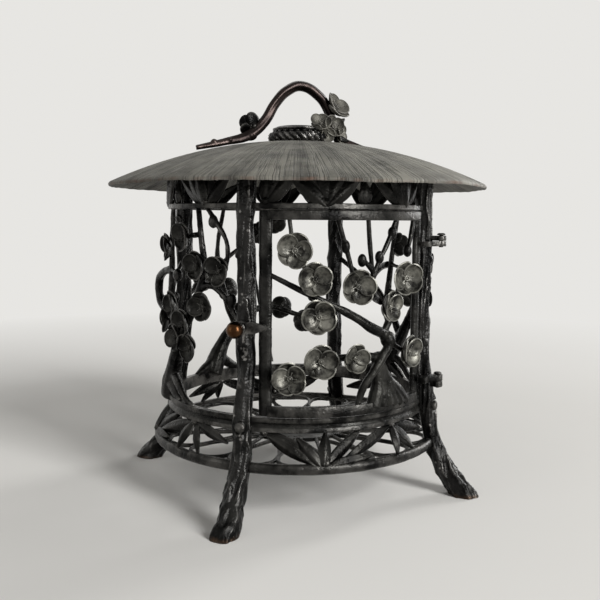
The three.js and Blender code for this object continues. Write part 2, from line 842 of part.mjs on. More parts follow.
// The plum of the door: a flared trunk, a curling stem, and limbs that carry the blossoms.
function doorPlum() {
  const fork = [13, 0.375];
  const [thick, thin] = [limbDiameter, twigDiameter];
  const pieces = [
    doorBranch([[15.5, -0.03], [13, 0.07], [10.5, 0.17], [9, 0.27]], trunkDiameter * 1.35, thick),
    doorBranch([[0, -0.03], [2.5, 0.105], [5, 0.162], [10, 0.247], [14.5, 0.325], fork], thin, thick),
    doorBranch([fork, [1, 0.46], [-10.9, 0.545], [-24, 0.63], [-38, 0.72]], thick, thin),
    doorBranch([[-19, 0.6], [-18.4, 0.69], [-23, 0.76], [-26, 0.84], [-28.5, 1.02]], thin, thin),
    doorBranch([[-10.9, 0.545], [-17.1, 0.49]], thin, thin),
    doorBranch([fork, [17, 0.47], [20.6, 0.6, 1], [20.6, 0.683, 3]], thick, thin),
    doorBranch([[15.5, 0.43], [12.5, 0.533, 1]], thin, thin),
    doorBranch([fork, [20, 0.3], [26.1, 0.259]], thick * 0.8, thin),
    doorBranch([[9, 0.25], [-2.8, 0.262], [-16.2, 0.251], [-27.6, 0.159], [-38, 0.13]], thick, thin),
  ];
  return lightened(cutBy(joined(pieces), doorEnds()));
}

function doorTwig(runs, buds) {
  const twigs = runs.map((run) => doorBranch(run, twigDiameter, twigDiameter, 5));
  const ends = buds.map((place) => bud(doorShell(...place)));
  return lightened(cutBy(joined([...twigs, ...ends]), doorEnds()));
}

// Bearing, height share, extra distance out, turn toward +X, size share and spin of each door blossom.
const doorBlossoms = {
  top_left: [-26, 0.84, 0, 0, 1, 0],
  upper_left: [-18.4, 0.69, 0, 0, 0.97, 30],
  upper_middle: [-1.5, 0.646, 0.6, -12, 1, 10],
  upper_right: [20.6, 0.683, 3, -22, 1, 40],
  side: [12.5, 0.533, 1, 14, 0.92, 20],
  middle_left: [-17.1, 0.49, 0, 0, 1, 50],
  lower_left: [-16.2, 0.251, 0.6, 0, 1, 15],
  bottom_left: [-27.6, 0.159, 0, 0, 0.96, 35],
  lower_middle: [-2.8, 0.262, 0.9, 6, 0.84, 5],
  lower_right: [26.1, 0.259, 0, 0, 1, 25],
};

function doorBlossom([bearing, share, out, turn, size, spin]) {
  const back = out + twigDiameter / 2 + seatGap;
  return facing(
    blossomShape(blossomDiameter * size), doorShell(bearing, share, back), outward(bearing + turn), spin);
}

// Hinges: an eye on the post above or below an eye on the door, on one pin

const hingeRadius = postFaceAt(lowerHingeHeight) + eyeDiameter / 2 + doorGap;
const hingePlace = at(doorwayHalf, hingeRadius, 0);

function eyeAt(bottom, height) {
  const bore = pinDiameter / 2 + seatGap;
  const eye = ring(bore, eyeDiameter / 2, bottom, bottom + height, 16);
  return eye.translate([hingePlace.x, hingePlace.y, 0]);
}

function pinBore(bottom, height) {
  const bore = new THREE.CylinderGeometry(pinDiameter / 2 + seatGap, pinDiameter / 2 + seatGap, height * 3, 16);
  bore.rotateX(Math.PI / 2);
  bore.translate(hingePlace.x, hingePlace.y, bottom + height / 2);
  return solidFrom(bore);
}

function hingeBracket(bottom, height) {
  const reach = hingeRadius - postFace + 1;
  const arm = new THREE.BoxGeometry(eyeDiameter * 0.8, reach, height);
  arm.translate(0, -(hingeRadius - reach / 2), bottom + height / 2);
  arm.rotateZ(radians(doorwayHalf));
  const whole = solidFrom(arm).add(eyeAt(bottom, height)).subtract(pinBore(bottom, height));
  return cutBy(whole, [postBody(doorwayHalf, seatGap)]);
}

function hingeStrap(bottom, height) {
  const inner = postFace + seatGap - strapDepth;
  const outer = postFace + seatGap + strapDepth;
  const band = sector(inner, outer, stileBearing - 2, doorwayHalf - 1, bottom, height, 1.5);
  const root = sector(outer - strapDepth, outer, doorwayHalf - 4, doorwayHalf - 1, bottom, height, 1.5);
  const tip = new THREE.BoxGeometry(eyeDiameter / 3, strapDepth, height);
  tip.translate(hingePlace.x - eyeDiameter / 4, hingePlace.y - strapDepth / 2, bottom + height / 2);
  const neck = wasm.Manifold.hull([root, solidFrom(tip)]);
  const whole = joined([band, neck, eyeAt(bottom, height)]).subtract(pinBore(bottom, height));
  return cutBy(whole, [postBody(doorwayHalf, seatGap * 1.5), stileBody(stileBearing, seatGap)]);
}

function hingePin(bottom, height) {
  const shank = pinDiameter / 2;
  const head = pinHeadDiameter / 2;
  const top = bottom + height + seatGap;
  const foot = bottom - seatGap * 2;
  const pin = revolved([
    [0, foot], [shank, foot], [shank, top], [head, top], [head, top + pinHeadHeight * 0.6],
    [head * 0.7, top + pinHeadHeight], [0, top + pinHeadHeight],
  ], 12);
  return pin.translate([hingePlace.x, hingePlace.y, 0]);
}

// Latch: a ball knob on a shank through the post, turning a tongue that lies over the door

function latchKnob() {
  const centre = postFace + knobReach - knobDiameter / 2;
  const ball = knobDiameter / 2;
  const shank = shankDiameter / 2;
  const tail = postRadius - postDepth / 2 - seatGap * 2 - washerThickness;
  const arcs = Array.from({ length: 9 }, (_, i) => {
    const angle = radians(-62 + (152 * i) / 8);
    return [ball * Math.cos(angle), centre + ball * Math.sin(angle)];
  });
  return radialBar([[0, tail], [shank, tail], [shank, centre - ball * 0.88], ...arcs.slice(0, -1),
    [0, centre + ball]], -doorwayHalf, latchHeight, 14);
}

const tongueBack = postFace + seatGap * 2;

function latchTongue() {
  const hub = hubDiameter / 2;
  const half = tongueWidth / 2;
  const shoulder = radians(50);
  const shape = new THREE.Shape();
  shape.absarc(0, 0, hub, shoulder, Math.PI * 2 - shoulder, false);
  shape.quadraticCurveTo(tongueLength * 0.45, -half * 1.5, tongueLength, half * 0.3);
  shape.quadraticCurveTo(tongueLength * 0.4, half * 1.5, hub * Math.cos(shoulder), hub * Math.sin(shoulder));
  shape.holes.push(new THREE.Path().absarc(0, 0, shankDiameter / 2 + seatGap, 0, Math.PI * 2, true));
  const blade = new THREE.ExtrudeGeometry(shape, {
    depth: tongueThickness,
    bevelEnabled: false,
    curveSegments: 6,
  });
  blade.rotateX(Math.PI / 2);
  blade.translate(0, -tongueBack, 0);
  blade.rotateZ(radians(-doorwayHalf));
  return solidFrom(blade.translate(0, 0, latchHeight));
}

function latchWasher() {
  const outer = postRadius - postDepth / 2 - seatGap;
  const bore = shankDiameter / 2 + seatGap;
  const rim = washerDiameter / 2;
  return radialBar(
    [[bore, outer - washerThickness], [rim, outer - washerThickness], [rim, outer], [bore, outer]],
    -doorwayHalf, latchHeight, 14);
}

function latchCatch() {
  const reach = catchDiameter / 2;
  const face = panelRadius + 1;
  const top = tongueBack - seatGap;
  const whole = radialBar(
    [[0, face], [reach, face], [reach, top - 0.5], [reach * 0.6, top], [0, top]],
    -stileBearing, latchHeight, 10);
  return whole.subtract(stileBody(-stileBearing, seatGap));
}

// Blossoms of the handle

function handleBlossom(share, direction, size, spin) {
  const away = new THREE.Vector3(...direction).normalize();
  const back = handlePath().getPointAt(share).addScaledVector(away, handleThickness / 2 + seatGap);
  return facing(blossomShape(blossomDiameter * size), back, away, spin);
}

function handleCluster() {
  const right = crownDiameter / 2;
  const base = crownBase + crownHeight;
  const places = [
    [[right * 0.62, -9, base + 3.4], [-0.2, -0.75, 0.6], 0.66],
    [[right * 1.02, -7.5, base + 1.2], [0.3, -1, 0.35], 0.72],
    [[right * 1.22, -5.4, base - 2.6], [0.7, -0.7, -0.1], 0.62],
  ];
  const flowers = places.map(([place, direction, size]) => facing(
    blossomShape(blossomDiameter * size, false), new THREE.Vector3(...place), new THREE.Vector3(...direction)));
  const stem = branch(
    [new THREE.Vector3(right * 0.55, -8, base + 4), new THREE.Vector3(right * 0.95, -6, base + 2),
      new THREE.Vector3(right * 1.25, -4.8, base - 2)],
    twigDiameter, twigDiameter * 1.3, { sides: 6, steps: 5 });
  const crown = ring(1, crownDiameter / 2 + seatGap, crownBase - seatGap, base + seatGap, 36);
  const cap = ring(1, capDiameter / 2 + seatGap, base, base + capHeight + seatGap * 2, 36);
  const grip = limb({
    path: handlePath(),
    across: () => ACROSS,
    sides: 8,
    steps: 26,
    halves: () => [handleThickness / 2 + seatGap * 1.4, handleThickness / 2 + seatGap * 1.4],
  });
  return lightened(cutBy(joined([...flowers, stem]), [crown, cap, grip, aboveRoofGuard()]));
}

// Finishes

function finish(color, roughness, metalness) {
  return new THREE.MeshStandardMaterial({ color, roughness, metalness });
}

const finishes = {
  dark: () => finish(0x1d1a18, 0.5, 0.75),
  roof: () => finish(0x3a3933, 0.7, 0.55),
  knob: () => finish(0x6b4322, 0.32, 0.9),
};

// The assembly

const lantern = new THREE.Group();

function add(name, solid, look = 'dark') {
  const mesh = new THREE.Mesh(geometryFrom(solid), finishes[look]());
  mesh.name = name;
  lantern.add(mesh);
}

add('roof', roofShell(), 'roof');
add('crown_ring', crownRing());
add('crown_cap', crownCap());
add('handle_branch', handleBranch());
add('handle_blossom_left', handleBlossom(0.262, [-0.75, 0.35, 0.5], 0.85, 10));
add('handle_blossom_right', handleBlossom(0.672, [0.9, -0.3, 0.4], 0.9, 0));
add('handle_blossom_cluster', handleCluster());

add('top_hoop', ring(hoopRadius - hoopWall, hoopRadius, topHoopBottom, topHoopTop));
add('upper_hoop', ring(hoopRadius - hoopWall, hoopRadius, upperHoopBottom, upperHoopTop));
add('base_hoop', baseHoop());
add('lower_hoop', lowerHoop());
add('floor_grille', floorGrille());

Object.entries(postBearings).forEach(([name, bearing]) => {
  add(`post_${name}`, name === 'front_left' ? latchPost() : post(bearing));
  add(`post_rivet_${name}`, postRivet(bearing));
});

const quarters = { front: 0, right: quarter, back: 2 * quarter, left: -quarter };
Object.entries(quarters).forEach(([name, centre]) => {
  add(`frieze_leaves_${name}`, frieze(centre));
  add(`skirt_leaves_${name}`, skirt(centre));
});

add('plum_panel_left', fixedPanel(sidePanel, quarters.left, 1));
add('plum_panel_back', fixedPanel(backPanel, quarters.back, 1));
add('plum_panel_right', fixedPanel(sidePanel, quarters.right, -1));

add('door_latch_stile', stileBody(-stileBearing));
add('door_hinge_stile', stileBody(stileBearing));
add('door_top_rail', rail(windowTop, topRailHeight));
add('door_bottom_rail', rail(doorBottom, bottomRailHeight));
add('door_plum_trunk', doorPlum());
add('door_twig_middle', doorTwig([[[-9.6, 1.02], [-6.6, 0.89], [-3.5, 0.754], [-1.5, 0.646]]], []));
add('door_twig_right', doorTwig(
  [[[4, 1.02], [5, 0.87], [6.8, 0.69]], [[20, 1.02], [14, 0.87], [8.8, 0.754], [6.8, 0.69]],
    [[6.8, 0.72], [1.5, 0.8]]],
  [[1.5, 0.785], [17, 0.93]]));
add('door_twig_hinge', doorTwig([[[33, 1.02], [31, 0.92], [28, 0.827]]], [[28, 0.83]]));
Object.entries(doorBlossoms).forEach(([name, place]) => add(`door_blossom_${name}`, doorBlossom(place)));

const upperBracket = upperHingeHeight + upperLeafHeight + seatGap;
const lowerStrap = lowerHingeHeight + lowerLeafHeight + seatGap;
add('hinge_bracket_upper', hingeBracket(upperBracket, upperLeafHeight));
add('hinge_strap_upper', hingeStrap(upperHingeHeight, upperLeafHeight));
add('hinge_pin_upper', hingePin(upperHingeHeight, 2 * upperLeafHeight + seatGap));
add('hinge_bracket_lower', hingeBracket(lowerHingeHeight, lowerLeafHeight));
add('hinge_strap_lower', hingeStrap(lowerStrap, lowerLeafHeight));
add('hinge_pin_lower', hingePin(lowerHingeHeight, 2 * lowerLeafHeight + seatGap));

add('latch_knob', latchKnob(), 'knob');
add('latch_tongue', latchTongue());
add('latch_washer', latchWasher());
add('latch_catch', latchCatch());

export default lantern;
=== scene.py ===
"""Looks of an openwork bronze lantern: bark posts, plum openwork, bamboo leaves, roof, door and latch."""

from __future__ import annotations

import logging
import math
import random
from collections.abc import Callable, Iterable, Iterator, Sequence
from contextlib import contextmanager
from dataclasses import dataclass, field
from enum import Enum

import bpy
from mathutils import Matrix, Vector, noise


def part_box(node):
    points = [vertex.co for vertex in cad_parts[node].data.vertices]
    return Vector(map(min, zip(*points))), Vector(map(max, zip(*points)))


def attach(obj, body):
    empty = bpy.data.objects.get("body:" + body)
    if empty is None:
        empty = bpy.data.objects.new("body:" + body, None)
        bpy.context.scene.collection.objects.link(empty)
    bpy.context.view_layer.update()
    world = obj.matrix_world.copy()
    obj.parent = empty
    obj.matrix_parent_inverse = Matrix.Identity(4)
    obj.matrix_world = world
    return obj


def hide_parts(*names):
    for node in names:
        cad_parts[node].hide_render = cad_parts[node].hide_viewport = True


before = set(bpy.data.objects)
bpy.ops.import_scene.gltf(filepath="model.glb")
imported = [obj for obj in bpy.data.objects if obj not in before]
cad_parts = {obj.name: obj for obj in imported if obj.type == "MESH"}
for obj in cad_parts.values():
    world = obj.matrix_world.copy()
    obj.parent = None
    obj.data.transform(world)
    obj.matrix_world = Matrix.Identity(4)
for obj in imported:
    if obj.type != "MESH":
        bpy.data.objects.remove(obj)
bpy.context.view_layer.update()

log = logging.getLogger("lantern")
MM = 0.001
Place = tuple[float, ...]


class Body(Enum):
    """The moving bodies of the lantern."""

    FRAME = "frame"
    DOOR = "door"
    LATCH = "latch"


class Slot(Enum):
    """The record's material slots."""

    DARK = "dark_patina"
    ROOF = "roof_patina"
    KNOB = "polished_knob"


# Hand tools


def at(bearing: float, radius: float, height: float) -> Vector:
    """Point round the lantern's axis.

    Args:
        bearing: degrees from the door's centre toward +X.
        radius: distance from the axis, mm.
        height: above the ground, mm.

    Returns:
        The point in metres.
    """
    turn = math.radians(bearing)
    return Vector((radius * math.sin(turn), -radius * math.cos(turn), height)) * MM


def outward(bearing: float) -> Vector:
    """Unit direction away from the axis."""
    turn = math.radians(bearing)
    return Vector((math.sin(turn), -math.cos(turn), 0.0))


def blend(low: float, high: float, share: float) -> float:
    """Value a share of the way from low to high."""
    return low + (high - low) * share


def active() -> bpy.types.Object:
    """The object that the last operator made or left active."""
    return bpy.context.view_layer.objects.active


def hold(obj: bpy.types.Object) -> bpy.types.Object:
    """Selects one object alone.

    Args:
        obj: the object to work on.

    Returns:
        The same object.
    """
    bpy.ops.object.select_all(action="DESELECT")
    obj.select_set(True)
    bpy.context.view_layer.objects.active = obj
    return obj


@contextmanager
def editing(obj: bpy.types.Object) -> Iterator[None]:
    """Opens a mesh for edit steps, with all of it selected, and closes it after them.

    Args:
        obj: the mesh.
    """
    hold(obj)
    bpy.ops.object.mode_set(mode="EDIT")
    bpy.ops.mesh.select_all(action="SELECT")
    yield
    bpy.ops.object.mode_set(mode="OBJECT")


def named(obj: bpy.types.Object, name: str) -> bpy.types.Object:
    """Names an object and its data.

    Args:
        obj: the object.
        name: the new name.

    Returns:
        The same object.
    """
    obj.name = name
    obj.data.name = name
    return obj


def settle(obj: bpy.types.Object) -> bpy.types.Object:
    """Puts an object's place, turn and scale into its mesh.

    Args:
        obj: the object.

    Returns:
        The same object, at the origin.
    """
    hold(obj)
    bpy.ops.object.transform_apply(location=True, rotation=True, scale=True)
    return obj


def modify(obj: bpy.types.Object, kind: str, **values: object) -> bpy.types.Object:
    """Adds one modifier and applies it.

    Args:
        obj: the object to change.
        kind: the modifier's type.
        **values: the modifier's settings.

    Returns:
        The same object.
    """
    hold(obj)
    step = obj.modifiers.new(kind.title(), kind)
    for key, value in values.items():
        setattr(step, key, value)
    bpy.ops.object.modifier_apply(modifier=step.name)
    return obj


def join(name: str, parts: Sequence[bpy.types.Object]) -> bpy.types.Object:
    """Joins meshes into one object.

    Args:
        name: the new object's name.
        parts: the meshes.

    Returns:
        The joined object.
    """
    hold(parts[0])
    for part in parts[1:]:
        part.select_set(True)
    if len(parts) > 1:
        bpy.ops.object.join()
    return named(active(), name)


def copy_of(master: bpy.types.Object, name: str, place: Matrix) -> bpy.types.Object:
    """Copies a mesh to a place, with its own mesh.

    Args:
        master: the shape that repeats.
        name: the copy's name.
        place: where the copy goes.

    Returns:
        The copy, at the origin.
    """
    obj = master.copy()
    obj.data = master.data.copy()
    bpy.context.scene.collection.objects.link(obj)
    obj.data.transform(place)
    obj.hide_render = False
    return named(obj, name)


def drop(*objects: bpy.types.Object) -> None:
    """Removes masters and cutters that are no longer needed."""
    for obj in objects:
        bpy.data.objects.remove(obj, do_unlink=True)


def mend(obj: bpy.types.Object, gap: float = 0.01) -> bpy.types.Object:
    """Merges doubled corners and points the faces outward.

    Args:
        obj: the mesh.
        gap: the merging distance, mm.

    Returns:
        The same object.
    """
    with editing(obj):
        bpy.ops.mesh.remove_doubles(threshold=gap * MM)
        bpy.ops.mesh.normals_make_consistent(inside=False)
    return obj


def reshape(obj: bpy.types.Object, move: Callable[[Vector], Vector]) -> bpy.types.Object:
    """Moves each corner of a mesh by a rule.

    Args:
        obj: the mesh.
        move: gives a corner's new place.

    Returns:
        The same object.
    """
    for corner in obj.data.vertices:
        corner.co = move(corner.co.copy())
    obj.data.update()
    return obj


def cut_flat(obj: bpy.types.Object, point: Vector, normal: Vector) -> bpy.types.Object:
    """Cuts away what lies beyond a plane and closes the cut.

    Args:
        obj: the mesh.
        point: a point of the plane.
        normal: the side that goes.

    Returns:
        The same object.
    """
    with editing(obj):
        bpy.ops.mesh.bisect(plane_co=point, plane_no=normal, use_fill=True, clear_outer=True)
    return obj


def smooth(obj: bpy.types.Object, angle: float = 40) -> bpy.types.Object:
    """Shades a mesh smooth but for its sharp edges.

    Args:
        obj: the mesh.
        angle: the least angle of a sharp edge, degrees.

    Returns:
        The same object.
    """
    hold(obj)
    bpy.ops.object.shade_smooth_by_angle(angle=math.radians(angle))
    return obj


def turned(name: str, profile: Sequence[Place], segments: int = 128) -> bpy.types.Object:
    """Turns a closed profile round the lantern's axis.

    Args:
        name: the piece's name.
        profile: radius and height of each corner, mm.
        segments: corners round the circle.

    Returns:
        The turned piece.
    """
    radius, height = profile[0]
    bpy.ops.mesh.primitive_circle_add(vertices=segments, radius=radius * MM)
    with editing(active()):
        bpy.ops.transform.translate(value=(0, 0, height * MM))
        for wide, high in (*profile[1:], profile[0]):
            bpy.ops.mesh.extrude_edges_move(TRANSFORM_OT_translate={"value": (0, 0, (high - height) * MM)})
            bpy.ops.transform.resize(value=(wide / radius, wide / radius, 1), center_override=(0, 0, 0))
            radius, height = wide, high
    return mend(named(active(), name), 0.02)


def limb(points: Sequence[Vector], widths: Sequence[float], section: bpy.types.Object | None = None,
         twist: float = 0.0, closed: bool = False) -> bpy.types.Object:
    """A round limb of changing thickness along a smooth curve.

    Args:
        points: the curve's points, metres.
        widths: the thickness at each point, mm.
        section: a curve for the cross-section, 1 mm in radius, or none for a round.
        twist: turn of the section along the limb, degrees.
        closed: joins the last point to the first.

    Returns:
        The limb as a mesh.
    """
    curve = bpy.data.curves.new("limb", "CURVE")
    curve.dimensions = "3D"
    curve.twist_mode = "MINIMUM"
    curve.resolution_u = 7
    curve.use_fill_caps = not closed
    if section:
        curve.bevel_mode = "OBJECT"
        curve.bevel_object = section
    else:
        curve.bevel_depth = MM
        curve.bevel_resolution = 3
    spline = curve.splines.new("BEZIER")
    spline.bezier_points.add(len(points) - 1)
    spline.use_cyclic_u = closed
    for index, (knot, point, width) in enumerate(zip(spline.bezier_points, points, widths)):
        knot.co = point
        knot.handle_left_type = knot.handle_right_type = "AUTO"
        knot.radius = width / 2
        knot.tilt = math.radians(twist) * index / (len(points) - 1)
    obj = bpy.data.objects.new("limb", curve)
    bpy.context.scene.collection.objects.link(obj)
    hold(obj)
    bpy.ops.object.convert(target="MESH")
    return mend(active())


def tapered(run: Sequence[Vector], start: float, end: float, swell: float = 0.07) -> bpy.types.Object:
    """A limb that tapers and swells a little at its joints.

    Args:
        run: the curve's points, metres.
        start: thickness at the first point, mm.
        end: thickness at the last point, mm.
        swell: how far every second point stands out, as a share.

    Returns:
        The limb.
    """
    count = len(run) - 1
    widths = [blend(start, end, i / count) * (1 + swell * (1 if i % 2 else -0.5)) for i in range(len(run))]
    return limb(run, widths)


def ball(point: Vector, width: float, stretch: Place = (1, 1, 1), fine: int = 2) -> bpy.types.Object:
    """A small lump, to be cast into a limb.

    Args:
        point: its centre, metres.
        width: its diameter, mm.
        stretch: its scale along each axis.
        fine: how finely it is cut.

    Returns:
        The lump.
    """
    bpy.ops.mesh.primitive_ico_sphere_add(subdivisions=fine, radius=width / 2 * MM, location=point,
                                          scale=stretch)
    return settle(active())


def relief(obj: bpy.types.Object, kind: str, size: float, height: float) -> bpy.types.Object:
    """Presses an uneven surface into a mesh.

    Args:
        obj: the mesh.
        kind: the texture's type.
        size: how broad the unevenness is, mm.
        height: how far it stands out in all, mm.

    Returns:
        The same object.
    """
    pattern = bpy.data.textures.new(f"relief_{kind}_{size}", kind)
    pattern.noise_scale = size * MM
    return modify(obj, "DISPLACE", texture=pattern, texture_coords="LOCAL", strength=height * MM,
                  mid_level=0.5)


def cast(name: str, parts: Sequence[bpy.types.Object], grain: float, lumps: float = 0.5) -> bpy.types.Object:
    """Fuses limbs and lumps into one casting with soft joints and bark.

    Args:
        name: the piece's name.
        parts: the limbs and lumps.
        grain: the size of the finest form kept, mm.
        lumps: how uneven the bark is, mm.

    Returns:
        The casting.
    """
    whole = join(name, parts)
    modify(whole, "REMESH", mode="VOXEL", voxel_size=grain * MM)
    modify(whole, "SMOOTH", factor=0.5, iterations=3)
    relief(whole, "CLOUDS", 5.5, lumps)
    relief(whole, "VORONOI", 8.0, lumps * 0.4)
    return smooth(whole, 80)


def furrow(obj: bpy.types.Object, depth: float, seed: float) -> bpy.types.Object:
    """Cuts long bark furrows that run up and down.

    Args:
        obj: the mesh.
        depth: how far the ridges stand above the furrows, mm.
        seed: varies the pattern.

    Returns:
        The same object.
    """
    corners = obj.data.vertices
    normals = [corner.normal.copy() for corner in corners]
    places: list[float] = []
    for corner, normal in zip(corners, normals):
        x, y, z = corner.co
        wave = noise.noise(Vector((x * 60, y * 60, z * 26 + seed))) * 0.004
        long = Vector(((x + wave) * 215, (y + wave) * 215, z * 30 + seed * 9))
        ridge = 1 - abs(noise.noise(long)) * 2.6
        scale = noise.noise(Vector((x * 420, y * 420, z * 150 + seed)))
        deep = depth * min(1.0, 0.25 + z * 40)
        places.extend(corner.co + normal * (ridge * 0.75 + scale * 0.2 - 0.4) * deep * MM)
    corners.foreach_set("co", places)
    obj.data.update()
    return obj


def facing(point: Vector, direction: Vector, spin: float, size: Place) -> Matrix:
    """Place of a copy that looks along a direction.

    Args:
        point: where its back goes, metres.
        direction: the way it looks.
        spin: its turn about that way, degrees.
        size: its scale.

    Returns:
        The matrix for the copy.
    """
    turn = direction.normalized().to_track_quat("Z", "Y").to_matrix().to_4x4()
    own = Matrix.Rotation(math.radians(spin), 4, "Z") @ Matrix.Diagonal((*size, 1))
    return Matrix.Translation(point) @ turn @ own


def pointing_out(bearing: float, height: float) -> Matrix:
    """Lays a turned piece down, so that its upright axis points away from the lantern's.

    Args:
        bearing: the way it points, degrees.
        height: above the ground, mm.

    Returns:
        The matrix for the piece.
    """
    turn = Matrix.Rotation(math.radians(bearing), 4, "Z") @ Matrix.Rotation(math.radians(90), 4, "X")
    return Matrix.Translation((0, 0, height * MM)) @ turn


# Finishes


class Graph:
    """Adds nodes to one tree and links them."""

    def __init__(self, tree: bpy.types.NodeTree) -> None:
        """Keeps the tree."""
        self.tree = tree

    def add(self, kind: str, inputs: dict | None = None, **settings: object) -> bpy.types.Node:
        """Adds one node.

        Args:
            kind: the node's type, without its ShaderNode prefix.
            inputs: a value or a socket for each named or numbered input.
            **settings: the node's own settings.

        Returns:
            The node.
        """
        node = self.tree.nodes.new(f"ShaderNode{kind}")
        for key, value in settings.items():
            setattr(node, key, value)
        for key, value in (inputs or {}).items():
            if isinstance(value, bpy.types.NodeSocket):
                self.tree.links.new(value, node.inputs[key])
            else:
                node.inputs[key].default_value = value
        return node

    def math(self, operation: str, *values: object) -> bpy.types.NodeSocket:
        """One value worked out of others."""
        return self.add("Math", dict(enumerate(values)), operation=operation).outputs[0]

    def vector(self, operation: str, *values: object) -> bpy.types.NodeSocket:
        """One vector worked out of others."""
        return self.add("VectorMath", dict(enumerate(values)), operation=operation).outputs[0]

    def scaled(self, place: bpy.types.NodeSocket, scale: bpy.types.NodeSocket) -> bpy.types.NodeSocket:
        """A place stretched evenly in all directions."""
        return self.add("VectorMath", {0: place, "Scale": scale}, operation="SCALE").outputs[0]

    def place(self) -> bpy.types.NodeSocket:
        """The place on the piece, metres."""
        return self.add("TexCoord").outputs["Object"]

    def shared(self, tree: bpy.types.NodeTree, **inputs: float) -> bpy.types.NodeOutputs:
        """Adds a shared node group and gives its outputs by name."""
        return self.add("Group", inputs, node_tree=tree).outputs

    def noise(self, place: bpy.types.NodeSocket, scale: float, detail: float, rough: float = 0.5,
              bend: float = 0.0, **settings: object) -> bpy.types.NodeSocket:
        """A cloudy pattern.

        Args:
            place: where it is read.
            scale: how many clouds follow one another in a metre.
            detail: how many layers of finer clouds lie on them.
            rough: how strong the finer ones are.
            bend: how far all are twisted.
            **settings: the node's own settings.

        Returns:
            The pattern's socket.
        """
        inputs = {"Vector": place, "Scale": scale, "Detail": detail, "Roughness": rough, "Distortion": bend}
        return self.add("TexNoise", inputs, **settings).outputs["Fac"]

    def sum(self, *terms: tuple[bpy.types.NodeSocket, float]) -> bpy.types.NodeSocket:
        """Adds weighted values.

        Args:
            *terms: each value with its weight.

        Returns:
            The socket of the sum.
        """
        total = self.math("MULTIPLY", *terms[0])
        for value, weight in terms[1:]:
            total = self.math("MULTIPLY_ADD", value, weight, total)
        return total

    def span(self, value: bpy.types.NodeSocket, low: float, high: float,
             to_low: float = 0.0, to_high: float = 1.0) -> bpy.types.NodeSocket:
        """Maps a range onto another and clamps it.

        Args:
            value: the socket that is mapped.
            low: the value that becomes to_low.
            high: the value that becomes to_high.
            to_low: the new low end.
            to_high: the new high end.

        Returns:
            The mapped socket.
        """
        ends = {0: value, 1: low, 2: high, 3: to_low, 4: to_high}
        return self.add("MapRange", ends, clamp=True).outputs[0]

    def mix(self, share: bpy.types.NodeSocket, low: object, high: object) -> bpy.types.NodeSocket:
        """Mixes two colours.

        Args:
            share: how much of the second shows.
            low: the first colour or socket.
            high: the second colour or socket.

        Returns:
            The mixed colour's socket.
        """
        node = self.add("Mix", {0: share, 6: low, 7: high}, data_type="RGBA")
        return node.outputs[2]

    def seen(self) -> bpy.types.NodeSocket:
        """Tells the rays that show the background from those that light the lantern.

        Returns:
            One for rays to the camera, by a reflection or through glass, and nought for others.
        """
        path = self.add("LightPath").outputs
        bare = self.math("MAXIMUM", path["Is Camera Ray"], path["Is Glossy Ray"])
        return self.math("MAXIMUM", bare, path["Is Transmission Ray"])


def group(name: str, inputs: Iterable[tuple[str, float]],
          outputs: Iterable[str]) -> tuple[Graph, dict, bpy.types.Node]:
    """Starts a node group with named float inputs and outputs.

    Args:
        name: the group's name.
        inputs: each input's name and usual value.
        outputs: the outputs' names.

    Returns:
        Its graph, its input sockets by name, and its output node.
    """
    tree = bpy.data.node_groups.new(name, "ShaderNodeTree")
    for label, value in inputs:
        socket = tree.interface.new_socket(label, in_out="INPUT", socket_type="NodeSocketFloat")
        socket.default_value = value
    for label in outputs:
        tree.interface.new_socket(label, in_out="OUTPUT", socket_type="NodeSocketFloat")
    start, end = tree.nodes.new("NodeGroupInput"), tree.nodes.new("NodeGroupOutput")
    return Graph(tree), {socket.name: socket for socket in start.outputs if socket.name}, end


def casting_grain() -> bpy.types.NodeTree:
    """Fine sand-cast grain with a few pits, as a height.

    Returns:
        The node group.
    """
    graph, given, end = group("Casting Grain", [("Scale", 1.0)], ["Height"])
    wide = graph.scaled(graph.place(), given["Scale"])
    sand = graph.noise(wide, scale=900, detail=4, rough=0.6)
    pits = graph.add("TexVoronoi", {"Vector": wide, "Scale": 420.0}).outputs["Distance"]
    low = graph.span(pits, 0.0, 0.35)
    graph.tree.links.new(graph.sum((sand, 0.6), (low, 0.4)), end.inputs["Height"])
    return graph.tree


def bark() -> bpy.types.NodeTree:
    """Furrows that run up and down, broken by cross cracks, as a height.

    Returns:
        The node group.
    """
    graph, given, end = group("Bark", [("Scale", 1.0), ("Stretch", 0.22)], ["Height"])
    place = graph.place()
    squash = graph.add("CombineXYZ", {0: 1.0, 1: 1.0, 2: given["Stretch"]}).outputs[0]
    long = graph.scaled(graph.vector("MULTIPLY", place, squash), given["Scale"])
    furrows = graph.noise(long, scale=260, detail=5, bend=0.8, noise_type="RIDGED_MULTIFRACTAL")
    knots = graph.noise(place, scale=150, detail=3, bend=1.2)
    graph.tree.links.new(graph.sum((furrows, 0.65), (knots, 0.5)), end.inputs["Height"])
    return graph.tree


def worn_and_highlit_edges() -> bpy.types.NodeTree:
    """Mask of edges and ridges that hands and weather have rubbed; it also paints highlights on those ridges
    and on rims.

    Returns:
        The node group.
    """
    graph, given, end = group("Worn And Highlit Edges", [("Reach", 0.5)], ["Mask"])
    edge = graph.span(graph.add("NewGeometry").outputs["Pointiness"], 0.512, 0.6)
    patches = graph.span(graph.noise(graph.place(), scale=95, detail=4, rough=0.65), 0.42, 0.62)
    broken = graph.math("MULTIPLY", edge, patches)
    graph.tree.links.new(graph.math("MULTIPLY", broken, given["Reach"]), end.inputs["Mask"])
    return graph.tree


